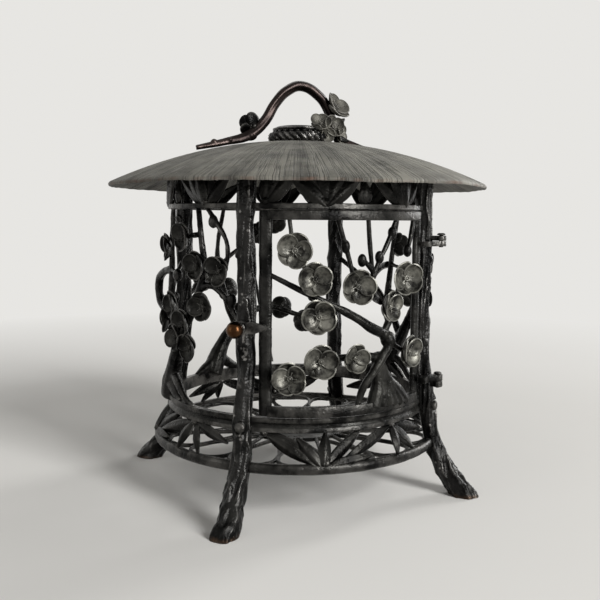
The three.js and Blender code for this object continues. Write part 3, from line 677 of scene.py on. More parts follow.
def dust() -> bpy.types.NodeTree:
    """Mask of dust and pale bloom on faces that look up.

    Returns:
        The node group.
    """
    graph, given, end = group("Dust", [("Amount", 0.3)], ["Mask"])
    up = graph.add("SeparateXYZ", {0: graph.add("NewGeometry").outputs["Normal"]}).outputs[2]
    clouds = graph.span(graph.noise(graph.place(), scale=60, detail=6, rough=0.7), 0.38, 0.7)
    lying = graph.math("MULTIPLY", graph.span(up, 0.1, 0.95), clouds)
    graph.tree.links.new(graph.math("MULTIPLY", lying, given["Amount"]), end.inputs["Mask"])
    return graph.tree


def radial_streaks() -> bpy.types.NodeTree:
    """Fine grooves and stains that run from the roof's crown to its rim.

    Returns:
        The node group.
    """
    graph, given, end = group("Radial Streaks", [("Scale", 1.0)], ["Height", "Mask", "Rim"])
    flat = graph.vector("MULTIPLY", graph.place(), (1.0, 1.0, 0.0))
    reach = graph.add("VectorMath", {0: flat}, operation="LENGTH").outputs["Value"]
    lift = graph.add("CombineXYZ", {2: graph.sum((reach, 0.3))}).outputs[0]
    path = graph.scaled(graph.vector("ADD", graph.vector("NORMALIZE", flat), lift), given["Scale"])
    threads = graph.noise(path, scale=36, detail=3, rough=0.65)
    stains = graph.noise(path, scale=7, detail=6, rough=0.65)
    grooves = graph.math("ABSOLUTE", graph.math("SUBTRACT", threads, 0.5))
    ends = {"Height": (grooves, 0.003, 0.045), "Mask": (stains, 0.36, 0.66), "Rim": (reach, 0.1093, 0.1098)}
    for label, (value, low, high) in ends.items():
        graph.tree.links.new(graph.span(value, low, high), end.inputs[label])
    return graph.tree


@dataclass(frozen=True)
class Patina:
    """One bronze finish: its colours, how it shines and how deep its surface is worked, mm."""

    name: str
    deep: Place = (0.004, 0.0039, 0.0037, 1)
    light: Place = (0.028, 0.0273, 0.0255, 1)
    # Worn colour: rubbed metal on edges and ridges, and also a painted highlight there.
    worn_and_highlit: Place = (0.16, 0.153, 0.142, 1)
    dusty: Place = (0.08, 0.078, 0.07, 1)
    foot: Place = (0.05, 0.031, 0.02, 1)
    rim: Place = (0.09, 0.045, 0.028, 1)
    metallic: float = 0.85
    gloss: float = 0.16
    rough: Place = (0.22, 0.4)
    bark_height: float = 0.0
    bark_scale: float = 1.0
    bark_stretch: float = 0.22
    grain_height: float = 0.35
    groove_height: float = 0.3
    cloud_scale: float = 48.0
    wear_and_highlight: float = 0.5
    dust: float = 0.25
    feet: float = 0.0
    streaks: bool = False

    def make(self, groups: dict[str, bpy.types.NodeTree]) -> bpy.types.Material:
        """Builds the material.

        Args:
            groups: the shared node groups by name.

        Returns:
            The material.
        """
        material = bpy.data.materials.new(self.name)
        material.use_nodes = True
        graph = Graph(material.node_tree)
        heights = [(graph.shared(groups["grain"])["Height"], self.grain_height)]
        if self.bark_height:
            furrows = graph.shared(groups["bark"], Scale=self.bark_scale, Stretch=self.bark_stretch)
            heights.append((furrows["Height"], self.bark_height))
        colour = self.coloured(graph, groups, heights)
        shine = graph.noise(graph.place(), scale=130, detail=5)
        bump = graph.add("Bump", {"Height": graph.sum(*heights), "Strength": 1.0, "Distance": MM})
        shader = material.node_tree.nodes["Principled BSDF"]
        links = material.node_tree.links
        links.new(colour, shader.inputs["Base Color"])
        links.new(graph.span(shine, 0.3, 0.7, *self.rough), shader.inputs["Roughness"])
        links.new(bump.outputs[0], shader.inputs["Normal"])
        shader.inputs["Metallic"].default_value = self.metallic
        shader.inputs["Specular IOR Level"].default_value = self.gloss
        return material

    def coloured(self, graph: Graph, groups: dict[str, bpy.types.NodeTree],
                 heights: list[tuple[bpy.types.NodeSocket, float]]) -> bpy.types.NodeSocket:
        """Lays the colours over one another: clouds, grooves, rubbed ridges with painted highlights, feet and
        dust.

        Args:
            graph: the material's graph.
            groups: the shared node groups.
            heights: the heights so far, which gain the roof's grooves.

        Returns:
            The colour.
        """
        clouds = graph.span(graph.noise(graph.place(), self.cloud_scale, detail=6, rough=0.62), 0.41, 0.66)
        colour = graph.mix(clouds, self.deep, self.light)
        if self.streaks:
            colour = self.streaked(graph, groups, colour, heights)
        # Edges and ridges take the worn colour: partly rubbed metal, partly a painted highlight.
        colour = graph.mix(graph.shared(groups["worn_and_highlit"], Reach=self.wear_and_highlight)["Mask"], colour, self.worn_and_highlit)
        if self.feet:
            colour = self.footed(graph, colour)
        return graph.mix(graph.shared(groups["dust"], Amount=self.dust)["Mask"], colour, self.dusty)

    def footed(self, graph: Graph, colour: bpy.types.NodeSocket) -> bpy.types.NodeSocket:
        """Rubs the metal brown near the ground.

        Args:
            graph: the material's graph.
            colour: the colour so far.

        Returns:
            The new colour.
        """
        place = graph.place()
        height = graph.add("SeparateXYZ", {0: place}).outputs[2]
        uneven = graph.sum((height, 1.0), (graph.noise(place, scale=240, detail=4), self.feet))
        near = graph.span(uneven, self.feet * 0.4, self.feet * 1.1, 0.85, 0.0)
        return graph.mix(near, colour, self.foot)

    def streaked(self, graph: Graph, groups: dict[str, bpy.types.NodeTree], colour: bpy.types.NodeSocket,
                 heights: list[tuple[bpy.types.NodeSocket, float]]) -> bpy.types.NodeSocket:
        """Adds the roof's grooves, stains and coppery rim.

        Args:
            graph: the material's graph.
            groups: the shared node groups.
            colour: the colour so far.
            heights: the heights so far, which gain the grooves.

        Returns:
            The new colour.
        """
        lines = graph.shared(groups["streaks"])
        heights.append((lines["Height"], self.groove_height))
        colour = graph.mix(graph.math("MULTIPLY", lines["Mask"], 0.6), colour, self.dusty)
        colour = graph.mix(graph.span(lines["Height"], 0.0, 0.8, 0.9, 0.0), colour, self.deep)
        spots = graph.span(graph.noise(graph.place(), scale=110, detail=4), 0.44, 0.66, 0.05, 0.6)
        return graph.mix(graph.math("MULTIPLY", spots, lines["Rim"]), colour, self.rim)


@dataclass
class Finishes:
    """The lantern's finishes, made once."""

    groups: dict[str, bpy.types.NodeTree] = field(default_factory=dict)
    made: dict[str, bpy.types.Material] = field(default_factory=dict)

    def make(self) -> None:
        """Builds the node groups and every finish."""
        self.groups = {"grain": casting_grain(), "bark": bark(), "worn_and_highlit": worn_and_highlit_edges(), "dust": dust(),
                       "streaks": radial_streaks()}
        # The larger worn colours and wear reaches here also paint highlights on post ridges, hoop edges and
        # petal rims.
        patinas = {
            "plain": Patina("black bronze", light=(0.04, 0.039, 0.036, 1), metallic=0.7, wear_and_highlight=0.8,
                            bark_height=0.2, bark_scale=1.5, bark_stretch=1.0),
            "bark": Patina("bark bronze", deep=(0.0025, 0.0025, 0.0025, 1), light=(0.026, 0.0254, 0.0244, 1),
                           worn_and_highlit=(0.34, 0.328, 0.31, 1), bark_height=0.4, wear_and_highlight=0.7, rough=(0.17, 0.34),
                           feet=0.004),
            "trunk": Patina("trunk bronze", deep=(0.004, 0.0039, 0.0035, 1), light=(0.034, 0.0332, 0.03, 1),
                            metallic=0.7, bark_height=0.3, rough=(0.24, 0.4), cloud_scale=80.0),
            "twig": Patina("twig bronze", bark_height=0.35, bark_scale=1.8, bark_stretch=0.5),
            "petal": Patina("petal bronze", deep=(0.009, 0.0087, 0.0075, 1), light=(0.18, 0.175, 0.152, 1),
                            worn_and_highlit=(0.26, 0.254, 0.228, 1), metallic=0.5, rough=(0.24, 0.46),
                            grain_height=0.2, cloud_scale=120.0, wear_and_highlight=0.7, dust=0.15),
            "leaf": Patina("leaf bronze", light=(0.026, 0.0254, 0.0234, 1), bark_height=0.3, bark_scale=2.4,
                           bark_stretch=0.6),
            "handle": Patina("handle bronze", deep=(0.01, 0.0075, 0.007, 1), light=(0.036, 0.027, 0.024, 1),
                             worn_and_highlit=(0.13, 0.1, 0.088, 1), bark_height=0.04, grain_height=0.03,
                             rough=(0.22, 0.34), wear_and_highlight=0.3, dust=0.05),
            "weathered": Patina("weathered bronze", deep=(0.03, 0.0285, 0.024, 1),
                                light=(0.16, 0.153, 0.13, 1), dusty=(0.2, 0.193, 0.168, 1), metallic=0.3,
                                rough=(0.36, 0.6), cloud_scale=90.0),
            "roof": Patina("roof bronze", deep=(0.026, 0.025, 0.021, 1), light=(0.14, 0.135, 0.113, 1),
                           dusty=(0.22, 0.213, 0.184, 1), metallic=0.2, gloss=0.3, rough=(0.5, 0.72),
                           grain_height=0.2, wear_and_highlight=0.35, dust=0.25, streaks=True),
            "knob": Patina("knob bronze", deep=(0.04, 0.018, 0.008, 1), light=(0.12, 0.06, 0.027, 1),
                           worn_and_highlit=(0.5, 0.3, 0.16, 1), metallic=1.0, rough=(0.14, 0.26), grain_height=0.05,
                           dust=0.0),
        }
        self.made = {key: patina.make(self.groups) for key, patina in patinas.items()}

    def dress(self, obj: bpy.types.Object, look: str) -> bpy.types.Object:
        """Gives a piece one finish all over.

        Args:
            obj: the piece.
            look: the finish's key.

        Returns:
            The same object.
        """
        obj.data.materials.clear()
        obj.data.materials.append(self.made[look])
        return obj


@dataclass
class Bench:
    """Hands finished pieces to their bodies and keeps the shapes that repeat."""

    finishes: Finishes
    blossom: bpy.types.Object | None = None
    leaf: bpy.types.Object | None = None

    def hand_in(self, obj: bpy.types.Object, nodes: Sequence[str], look: str | None = None,
                body: Body = Body.FRAME, slot: Slot = Slot.DARK) -> bpy.types.Object:
        """Finishes a piece that stands for CAD nodes.

        Args:
            obj: the piece.
            nodes: the nodes it stands for.
            look: its finish, or none where it already has one.
            body: the body it rides on.
            slot: the record's material slot; not used.

        Returns:
            The same object.
        """
        if look:
            self.finishes.dress(obj, look)
        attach(obj, body.value)
        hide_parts(*nodes)
        log.info("%s stands for %s with %d faces", obj.name, ", ".join(nodes), len(obj.data.polygons))
        return obj

    def softened(self, node: str, width: float, look: str, body: Body = Body.FRAME) -> bpy.types.Object:
        """A copy of a CAD node with its edges rounded.

        Args:
            node: the CAD node.
            width: how far the edges are rounded, mm.
            look: the finish.
            body: the body it rides on.

        Returns:
            The piece.
        """
        obj = copy_of(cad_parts[node], f"{node}_look", Matrix.Identity(4))
        obj.parent = None
        for key in list(obj.keys()):
            del obj[key]
        with editing(obj):
            bpy.ops.mesh.remove_doubles(threshold=0.01 * MM)
            bpy.ops.mesh.dissolve_limited(angle_limit=math.radians(3))
        modify(obj, "BEVEL", width=width * MM, segments=2, limit_method="ANGLE", angle_limit=math.radians(32),
               use_clamp_overlap=True)
        return self.hand_in(smooth(obj, 50), [node], look, body)


@dataclass
class Part:
    """A part of the lantern that builds its pieces on the bench."""

    bench: Bench


# Shapes that repeat


@dataclass
class PlumBlossom:
    """A cast plum blossom, a little under one unit across, facing +Z with its back at the origin."""

    lifts: Sequence[float] = (0.085, 0.0, 0.07, -0.015, 0.035)
    petal_width: float = 0.53
    petal_out: float = 0.242
    cup: float = 0.42
    rise: float = 25
    roll: float = 2
    wall: float = 0.036
    brim: float = 0.22
    flare: float = 0.12
    stamens: int = 5

    def petal(self) -> bpy.types.Object:
        """One cupped petal, round at its end and narrower at the heart.

        Returns:
            The petal, an open bowl.
        """
        bpy.ops.mesh.primitive_uv_sphere_add(segments=24, ring_count=16, radius=1)
        with editing(active()):
            bpy.ops.mesh.bisect(plane_co=(0, 0, -self.brim), plane_no=(0, 0, 1), clear_outer=True)
        half = self.petal_width / 2 / math.sqrt(1 - self.brim ** 2)

        def bowl(c: Vector) -> Vector:
            """Sizes and flattens the ball's lower end."""
            return Vector((c.x * half, c.y * half * (1 + self.flare * c.x), (c.z + 1) * half * self.cup))

        return named(reshape(active(), bowl), "petal")

    def make(self) -> bpy.types.Object:
        """Builds the blossom.

        Returns:
            The master, hidden from renders.
        """
        petal = self.petal()
        modify(petal, "SOLIDIFY", thickness=self.wall, offset=0)
        lean = (Matrix.Rotation(math.radians(-self.rise), 4, "Y")
                @ Matrix.Rotation(math.radians(self.roll), 4, "X"))
        parts = []
        for index, lift in enumerate(self.lifts):
            turn = Matrix.Rotation(math.tau * index / len(self.lifts), 4, "Z")
            size = Matrix.Scale(1 + 0.05 * (index % 3 - 1), 4)
            spot = turn @ Matrix.Translation((self.petal_out, 0, 0.03 + lift)) @ lean @ size
            parts.append(copy_of(petal, f"petal_{index}", spot))
        drop(petal)
        whole = join("blossom", [*parts, *self.heart()])
        whole.hide_render = True
        return smooth(whole, 50)

    def heart(self) -> list[bpy.types.Object]:
        """The ring, pistil, stamens and calyx in the blossom's middle.

        Returns:
            The pieces.
        """
        bpy.ops.mesh.primitive_torus_add(major_radius=0.062, minor_radius=0.016, major_segments=20,
                                         minor_segments=8, location=(0, 0, 0.155))
        parts = [settle(active())]
        for width, height, stretch in ((0.075, 0.15, 0.7), (0.17, 0.1, 0.7), (0.26, 0.02, 0.5)):
            bpy.ops.mesh.primitive_uv_sphere_add(segments=14, ring_count=8, radius=width / 2,
                                                 location=(0, 0, height), scale=(1, 1, stretch))
            parts.append(settle(active()))
        for index in range(self.stamens):
            turn = Matrix.Rotation(math.tau * (index + 0.5) / self.stamens, 4, "Z")
            lean = turn @ Matrix.Translation((0.125, 0, 0.148)) @ Matrix.Rotation(math.radians(78), 4, "Y")
            bpy.ops.mesh.primitive_cone_add(vertices=5, radius1=0.011, radius2=0.007, depth=0.1)
            active().matrix_world = lean
            parts.append(settle(active()))
            bpy.ops.mesh.primitive_ico_sphere_add(subdivisions=1, radius=0.017)
            active().matrix_world = turn @ Matrix.Translation((0.178, 0, 0.162))
            parts.append(settle(active()))
        return parts


@dataclass
class BambooLeaf:
    """A bamboo leaf, one unit long and wide, its relief in millimetres, from the origin along +Y."""

    rows: int = 14
    columns: int = 6
    rib: float = 0.7
    droop: float = 0.9
    bow: float = 1.2

    def half_width(self, share: float) -> float:
        """Half the blade's width at a share of its length."""
        return max(0.03, 0.5 * math.sin(math.pi * min(1.0, share) ** 0.78) ** 0.85)

    def make(self) -> bpy.types.Object:
        """Builds the leaf.

        Returns:
            The master, an open sheet hidden from renders.
        """
        bpy.ops.mesh.primitive_grid_add(x_subdivisions=self.columns, y_subdivisions=self.rows, size=1)

        def shape(c: Vector) -> Vector:
            """Gives the sheet its outline, rib and bow.

            Args:
                c: a corner of the square sheet.

            Returns:
                Its place on the leaf.
            """
            share = c.y + 0.5
            across = c.x * 2
            lift = self.rib * max(0.0, 1 - abs(across) * 3) - self.droop * across * across
            return Vector((across * self.half_width(share), share, lift + self.bow * math.sin(math.pi * share)))

        leaf = named(reshape(active(), shape), "leaf")
        leaf.hide_render = True
        return leaf

    def place(self, base: Vector, tip: Vector, away: Vector, width: float) -> Matrix:
        """Place of one leaf.

        Args:
            base: where the leaf starts, metres.
            tip: where it ends, metres.
            away: the way its face looks.
            width: its width, mm.

        Returns:
            The matrix for the copy.
        """
        along = (tip - base).normalized()
        normal = (away - along * away.dot(along)).normalized()
        across = along.cross(normal)
        turn = Matrix((across, along, normal)).transposed().to_4x4()
        return Matrix.Translation(base) @ turn @ Matrix.Diagonal((width * MM, (tip - base).length, MM, 1))


# Roof, crown and handle


@dataclass
class Roof(Part):
    """The umbrella roof: a dished sheet with a thin, slightly wavy rim."""

    radius: float = 110.0
    rim_height: float = 177.2
    rise: float = 25.6
    bulge: float = 2.05
    wall: float = 1.8
    hole: float = 3.0
    rings: int = 18
    waviness: float = 0.35

    @property
    def top(self) -> float:
        """Height of the roof's middle, mm."""
        return self.rim_height + self.rise

    def outside(self, radius: float) -> float:
        """Height of the upper face at a radius, mm."""
        return self.top - self.rise * (radius / self.radius) ** self.bulge

    def wave(self, corner: Vector) -> Vector:
        """Lifts and lowers the rim a little.

        Args:
            corner: a corner of the sheet.

        Returns:
            Its new place.
        """
        reach = math.hypot(corner.x, corner.y) / (self.radius * MM)
        turn = math.atan2(corner.y, corner.x)
        swing = 0.6 * math.sin(5 * turn + 1) + 0.4 * math.sin(9 * turn) + 0.35 * math.sin(17 * turn + 2)
        corner.z += self.waviness * MM * swing * reach ** 6
        corner.z += 0.10 * MM * math.sin(61 * turn) * reach
        return corner

    def make(self) -> None:
        """Builds the roof and hands it in."""
        radii = [blend(self.hole, self.radius - 0.9, i / self.rings) for i in range(self.rings + 1)]
        upper = [(r, self.outside(r)) for r in radii]
        lower = [(r, self.outside(r) - self.wall * 1.05) for r in reversed(radii)]
        rim = [(self.radius - 0.25, self.rim_height - 0.35), (self.radius, self.rim_height - self.wall * 0.5),
               (self.radius - 0.3, self.rim_height - self.wall * 0.95)]
        sheet = reshape(turned("roof_sheet", [*upper, *rim, *lower], 244), self.wave)
        self.bench.hand_in(smooth(sheet, 50), ["roof"], "roof", slot=Slot.ROOF)


@dataclass
class Crown(Part):
    """The gadrooned ring and stepped cap on the roof's middle."""

    radius: float = 18.0
    base: float = 203.1
    height: float = 5.8
    lobes: int = 24
    cap_radius: float = 15.0
    cap_height: float = 2.6

    def lobed(self, corner: Vector) -> Vector:
        """Draws in the outside between the lobes.

        Args:
            corner: a corner of the ring.

        Returns:
            Its new place.
        """
        reach = math.hypot(corner.x, corner.y)
        if reach > 0.85 * self.radius * MM:
            turn = math.atan2(corner.y, corner.x) + corner.z * 60
            dip = 1 - 0.065 * (0.5 - 0.5 * math.cos(self.lobes * turn)) ** 0.7
            corner.x *= dip
            corner.y *= dip
        return corner

    def make(self) -> None:
        """Builds ring and cap and hands them in."""
        low, r, h = self.base, self.radius, self.height
        swell = [(4, low), (r - 1.2, low), (r - 0.3, low + h * 0.14), (r, low + h * 0.34),
                 (r - 0.2, low + h * 0.6), (r - 0.9, low + h * 0.8), (r - 2.6, low + h * 0.9),
                 (r - 3, low + h), (4, low + h)]
        ring = reshape(turned("crown_gadroons", swell, 240), self.lobed)
        self.bench.hand_in(smooth(ring, 60), ["crown_ring"], "bark")
        base, c = low + h + 0.3, self.cap_radius
        steps = [(0.05, 199.6), (5.3, 199.6), (5.3, 200.6), (2.5, 200.7), (2.5, base), (c - 0.5, base),
                 (c, base + 0.5), (c, base + 1.3), (c - 1, base + 1.7), (c - 1.6, base + 1.75),
                 (c - 2.2, base + 2.3), (c - 4, base + self.cap_height), (0.05, base + self.cap_height * 0.9)]
        cap = turned("crown_button", steps, 96)
        self.bench.hand_in(smooth(cap, 45), ["crown_cap"], "bark")


@dataclass
class Handle(Part):
    """The arched branch, its feet on the roof, and its blossoms."""

    roof: Roof
    left_foot: float = 62.9
    left_knee: float = 29.5
    right_knee: float = 27.0
    right_foot: float = 51.3
    arch: float = 33.0
    foot_thick: float = 4.6

    def run(self) -> list[Vector]:
        """The branch's curve, from its left foot to its right one.

        Returns:
            Its points, metres.
        """
        lift = self.foot_thick / 2 + 0.1
        left, right = self.left_knee, self.right_knee
        up = [(-x, self.roof.outside(x) + lift) for x in (self.left_foot, (self.left_foot + left) / 2)]
        arch = [(-left - 1, 0.09), (-left * 0.73, 0.34), (-left * 0.5, 0.67), (-left * 0.24, 0.9), (2, 1),
                (right * 0.5, 0.85), (right * 0.72, 0.63), (right * 0.86, 0.35), (right, 0.11)]
        raised = [(x, self.roof.top + self.arch * share) for x, share in arch]
        down = [(x, self.roof.outside(x) + lift) for x in ((self.right_foot + right) / 2, self.right_foot)]
        return [Vector((x, 0, z)) * MM for x, z in (*up, *raised, *down)]

    def make(self) -> None:
        """Builds the branch and its blossoms and hands them in."""
        run = self.run()
        widths = [2.7, 4.2, 6.0, 6.0, 5.9, 6.0, 5.9, 6.0, 5.9, 6.1, 6.2, 4.6, 3.4]
        section = lobed_section(3, 0.09)
        branch = limb(run, widths, section, twist=220)
        drop(section)
        knobs = [ball(run[2] + Vector((0, 0, -0.5)) * MM, 6.8, (1.3, 0.95, 0.9)),
                 ball(run[10] + Vector((0.5, 0, -0.4)) * MM, 6.8, (1.1, 0.95, 0.9)),
                 ball(run[12], 3.8, (1.3, 1, 0.8)),
                 ball(run[1] + Vector((3, -1.2, 1.2)) * MM, 3.0),
                 ball(run[1] + Vector((-6, 0.4, -0.4)) * MM, 4.2)]
        whole = cast("handle_arch", [branch, *knobs], 0.42, 0.1)
        self.bench.hand_in(whole, ["handle_branch"], "handle")
        # The left blossom takes the dark bark finish and the right one the pale weathered finish: the left
        # one's darkness is painted shade.
        self.flower("left", (3.5, -3, -0.9), Vector((-0.2, 0.9, 0.3)), 15.5, 18, "bark")
        self.flower("right", (-0.2, 1.4, -6), Vector((0.37, -0.67, 0.5)), 19.5, 0, "weathered")
        self.cluster()

    def flower(self, side: str, shift: Place, away: Vector, size: float, spin: float,
               look: str) -> None:
        """One blossom on the handle.

        Args:
            side: its name's end.
            shift: its back's distance from the middle of the node it stands for, mm.
            away: the way it looks.
            size: its diameter, mm.
            spin: its turn, degrees.
            look: its finish.
        """
        away = away.normalized()
        low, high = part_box(f"handle_blossom_{side}")
        centre = (low + high) / 2 + Vector(shift) * MM
        pose = facing(centre, away, spin, (size * MM,) * 3)
        petals = copy_of(self.bench.blossom, f"handle_flower_{side}", pose)
        stem = limb([centre - away * 2.6 * MM, centre, centre + away * MM], [2.6, 2.2, 1.6])
        self.bench.finishes.dress(petals, look)
        self.bench.finishes.dress(stem, "twig")
        self.bench.hand_in(join(petals.name, [petals, stem]), [f"handle_blossom_{side}"])

    def cluster(self) -> None:
        """The blossoms and leaves in front of the right knee."""
        places = [((10.6, -9, 212.6), (-0.3, -0.75, 0.6), 14), ((18.0, -8.5, 211.4), (0.1, -1, 0.35), 15),
                  ((23.4, -6.6, 208.0), (0.6, -0.8, 0.1), 13), ((6.4, -11, 208.4), (-0.4, -0.9, 0.2), 9),
                  ((13.5, -11, 206.8), (0, -1, 0), 10)]
        parts = []
        for index, (place, away, size) in enumerate(places):
            spot = facing(Vector(place) * MM, Vector(away), 25 * index, (size * MM,) * 3)
            flower = copy_of(self.bench.blossom, f"cluster_{index}", spot)
            parts.append(self.bench.finishes.dress(flower, "weathered"))
        path = [Vector(p) * MM for p in ((10, -8, 212.8), (17, -6, 210.9), (22.5, -4.8, 206.9))]
        parts.append(self.bench.finishes.dress(limb(path, [3.2, 3.4, 3.0]), "twig"))
        for base, tip in (((20, -6, 206.4), (30, -8, 204.2)), ((12, -7, 210.6), (4.5, -10.5, 206.2)),
                          ((21, -5, 212), (27.5, -7, 217.5))):
            spot = BambooLeaf().place(Vector(base) * MM, Vector(tip) * MM, Vector((0.1, -0.8, 0.6)), 5)
            leaf = thick_sheet(copy_of(self.bench.leaf, "cluster_leaf", spot), 0.9)
            parts.append(self.bench.finishes.dress(leaf, "leaf"))
        self.bench.hand_in(join("handle_cluster", parts), ["handle_blossom_cluster"])


def lobed_section(lobes: int, depth: float, count: int = 24) -> bpy.types.Object:
    """A lobed cross-section for limbs, 1 mm in radius.

    Args:
        lobes: how many ridges it has.
        depth: how deep the furrows are, as a share.
        count: its corners.

    Returns:
        The section's curve object.
    """
    curve = bpy.data.curves.new("section", "CURVE")
    spline = curve.splines.new("POLY")
    spline.points.add(count - 1)
    spline.use_cyclic_u = True
    for index, knot in enumerate(spline.points):
        turn = math.tau * index / count
        reach = (1 + depth * math.cos(lobes * turn) + depth * 0.5 * math.cos((lobes * 2 + 1) * turn + 1)) * MM
        knot.co = (reach * math.cos(turn), reach * math.sin(turn), 0, 1)
    obj = bpy.data.objects.new("section", curve)
    bpy.context.scene.collection.objects.link(obj)
    return obj


def thick_sheet(obj: bpy.types.Object, wall: float) -> bpy.types.Object:
    """Thickens a sheet and rounds it.

    Args:
        obj: the open sheet.
        wall: its thickness, mm.

    Returns:
        The same object.
    """
    modify(obj, "SOLIDIFY", thickness=wall * MM, offset=0)
    modify(obj, "SUBSURF", levels=1, render_levels=1)
    return smooth(obj, 60)


# Cage


@dataclass
class Posts(Part):
    """The four plum-trunk posts, their knots, cut feet and rivets."""

    bearings: dict[str, float] = field(default_factory=lambda: {
        "front_left": -45, "front_right": 45, "back_right": 135, "back_left": -135})
    stations: Sequence[Place] = (
        (106.0, -6, 14.6), (103.5, 0, 14.4), (99.0, 5.5, 12.6), (93.1, 13, 11.4), (84.7, 29.6, 10.6),
        (80.6, 52.4, 10.4), (78.9, 61.3, 10.0), (76.9, 82, 9.4), (76.2, 102.5, 10.2), (76.0, 124, 9.2),
        (76.4, 145, 9.8), (76.2, 165, 9.6), (76.2, 187.6, 10.4), (76.2, 194, 10.6))
    bottom: float = 0.11
    top: float = 187.9
    rivet_height: float = 51.3
    rivet_seat: float = 84.6
    rivet_reach: float = 3.7
    latch_height: float = 102.5
    latch_radius: float = 76.2
    latch_seat: float = 80.7
    latch_reach: float = 16.5
    hollow_depth: float = 0.6
    hollow_reach: float = 24.0
    hollow_edge: float = 9.0
    hollow_rise: float = 4.0

    def make(self) -> None:
        """Builds posts and rivets and hands them in."""
        chance = random.Random(7)
        for index, (name, bearing) in enumerate(self.bearings.items()):
            post = self.post(f"trunk_post_{name}", bearing, index, chance)
            self.bench.hand_in(post, [f"post_{name}"], "bark")
            self.rivet(name, bearing)

    def post(self, name: str, bearing: float, index: int, chance: random.Random) -> bpy.types.Object:
        """One post.

        Args:
            name: its name.
            bearing: where it stands, degrees.
            index: its number, which varies its furrows.
            chance: seeded randomness.

        Returns:
            The post.
        """
        section = lobed_section(5 + index % 2, 0.075)
        run = [at(bearing + chance.uniform(-0.35, 0.35), r, z) for r, z, _ in self.stations]
        widths = [width * chance.uniform(0.95, 1.05) for *_, width in self.stations]
        parts = [limb(run, widths, section, twist=120 + 60 * index)]
        drop(section)
        for height in (18, 41, 70, 92, 118, 137, 158, 176):
            parts.append(self.knot(bearing, height + chance.uniform(-5, 5), chance))
        whole = cast(name, parts, 0.45, 0.3)
        furrow(whole, 1.25, index * 0.7)
        self.seat(whole, bearing, self.rivet_height, self.rivet_seat, self.rivet_reach)
        if name.endswith("front_left"):
            self.hollow(whole, bearing)
            self.seat(whole, bearing, self.latch_height, self.latch_seat, self.latch_reach)
        cut_flat(whole, Vector((0, 0, self.bottom * MM)), Vector((0, 0, -1)))
        cut_flat(whole, Vector((0, 0, self.top * MM)), Vector((0, 0, 1)))
        return whole

    def seat(self, post: bpy.types.Object, bearing: float, height: float, face: float,
             reach: float) -> bpy.types.Object:
        """Flattens the bark under a rivet's head or the turning latch.

        Args:
            post: the post.
            bearing: where it stands, degrees.
            height: the seat's height, mm.
            face: how far from the axis it lies, mm.
            reach: its radius, mm.

        Returns:
            The same object.
        """
        out = outward(bearing)
        middle = out * face * MM + Vector((0, 0, height * MM))

        def press(corner: Vector) -> Vector:
            """Pulls a corner back to the seat where it stands out of it.

            Args:
                corner: a corner of the post.

            Returns:
                Its new place.
            """
            high = (corner - middle).dot(out)
            near = (corner - middle - out * high).length < reach * MM
            return corner - out * high if near and high > 0 else corner

        return reshape(post, press)

    def hollow(self, post: bpy.types.Object, bearing: float) -> bpy.types.Object:
        """Sinks the bark behind the turning latch.

        Args:
            post: the post.
            bearing: where it stands, degrees.

        Returns:
            The same object.
        """
        out, middle = outward(bearing), at(bearing, self.latch_radius, self.latch_height)

        def sink(corner: Vector) -> Vector:
            """Moves an outer corner inward, less so further from the latch.

            Args:
                corner: a corner of the post.

            Returns:
                Its new place.
            """
            high = (corner - middle).dot(out)
            away = (corner - middle - out * high).length / MM
            outer = min(max(high / (self.hollow_rise * MM), 0), 1)
            near = min(max((self.hollow_reach - away) / self.hollow_edge, 0), 1)
            return corner - out * outer * near * self.hollow_depth * MM

        return reshape(post, sink)

    def knot(self, bearing: float, height: float, chance: random.Random) -> bpy.types.Object:
        """A pruned-off twig's scar on the outside of a post.

        Args:
            bearing: the post's bearing, degrees.
            height: its height, mm.
            chance: seeded randomness.

        Returns:
            The lump.
        """
        lower = [s for s in self.stations if s[1] <= height][-1]
        upper = [s for s in self.stations if s[1] > height][0]
        share = (height - lower[1]) / (upper[1] - lower[1])
        radius = blend(lower[0], upper[0], share)
        side = chance.uniform(-100, 100)
        away = Matrix.Rotation(math.radians(side), 3, "Z") @ outward(bearing)
        return ball(at(bearing, radius, height) + away * 3.6 * MM, chance.uniform(3.6, 5.2),
                    (1, 1, chance.uniform(0.9, 1.6)))

    def rivet(self, name: str, bearing: float) -> None:
        """The rivet through base hoop and post.

        Args:
            name: the post's name.
            bearing: the post's bearing, degrees.
        """
        face = self.rivet_seat
        profile = [(0.03, 77.6), (1.2, 77.6), (1.2, face - 0.2), (2.7, face - 0.2), (2.8, face + 0.9),
                   (2.5, face + 1.5), (1.5, face + 1.9), (0.03, face + 2.1)]
        rivet = turned(f"rivet_{name}", profile, 24)
        rivet.data.transform(pointing_out(bearing, self.rivet_height))
        self.bench.hand_in(smooth(mend(rivet), 50), [f"post_rivet_{name}"], "plain")


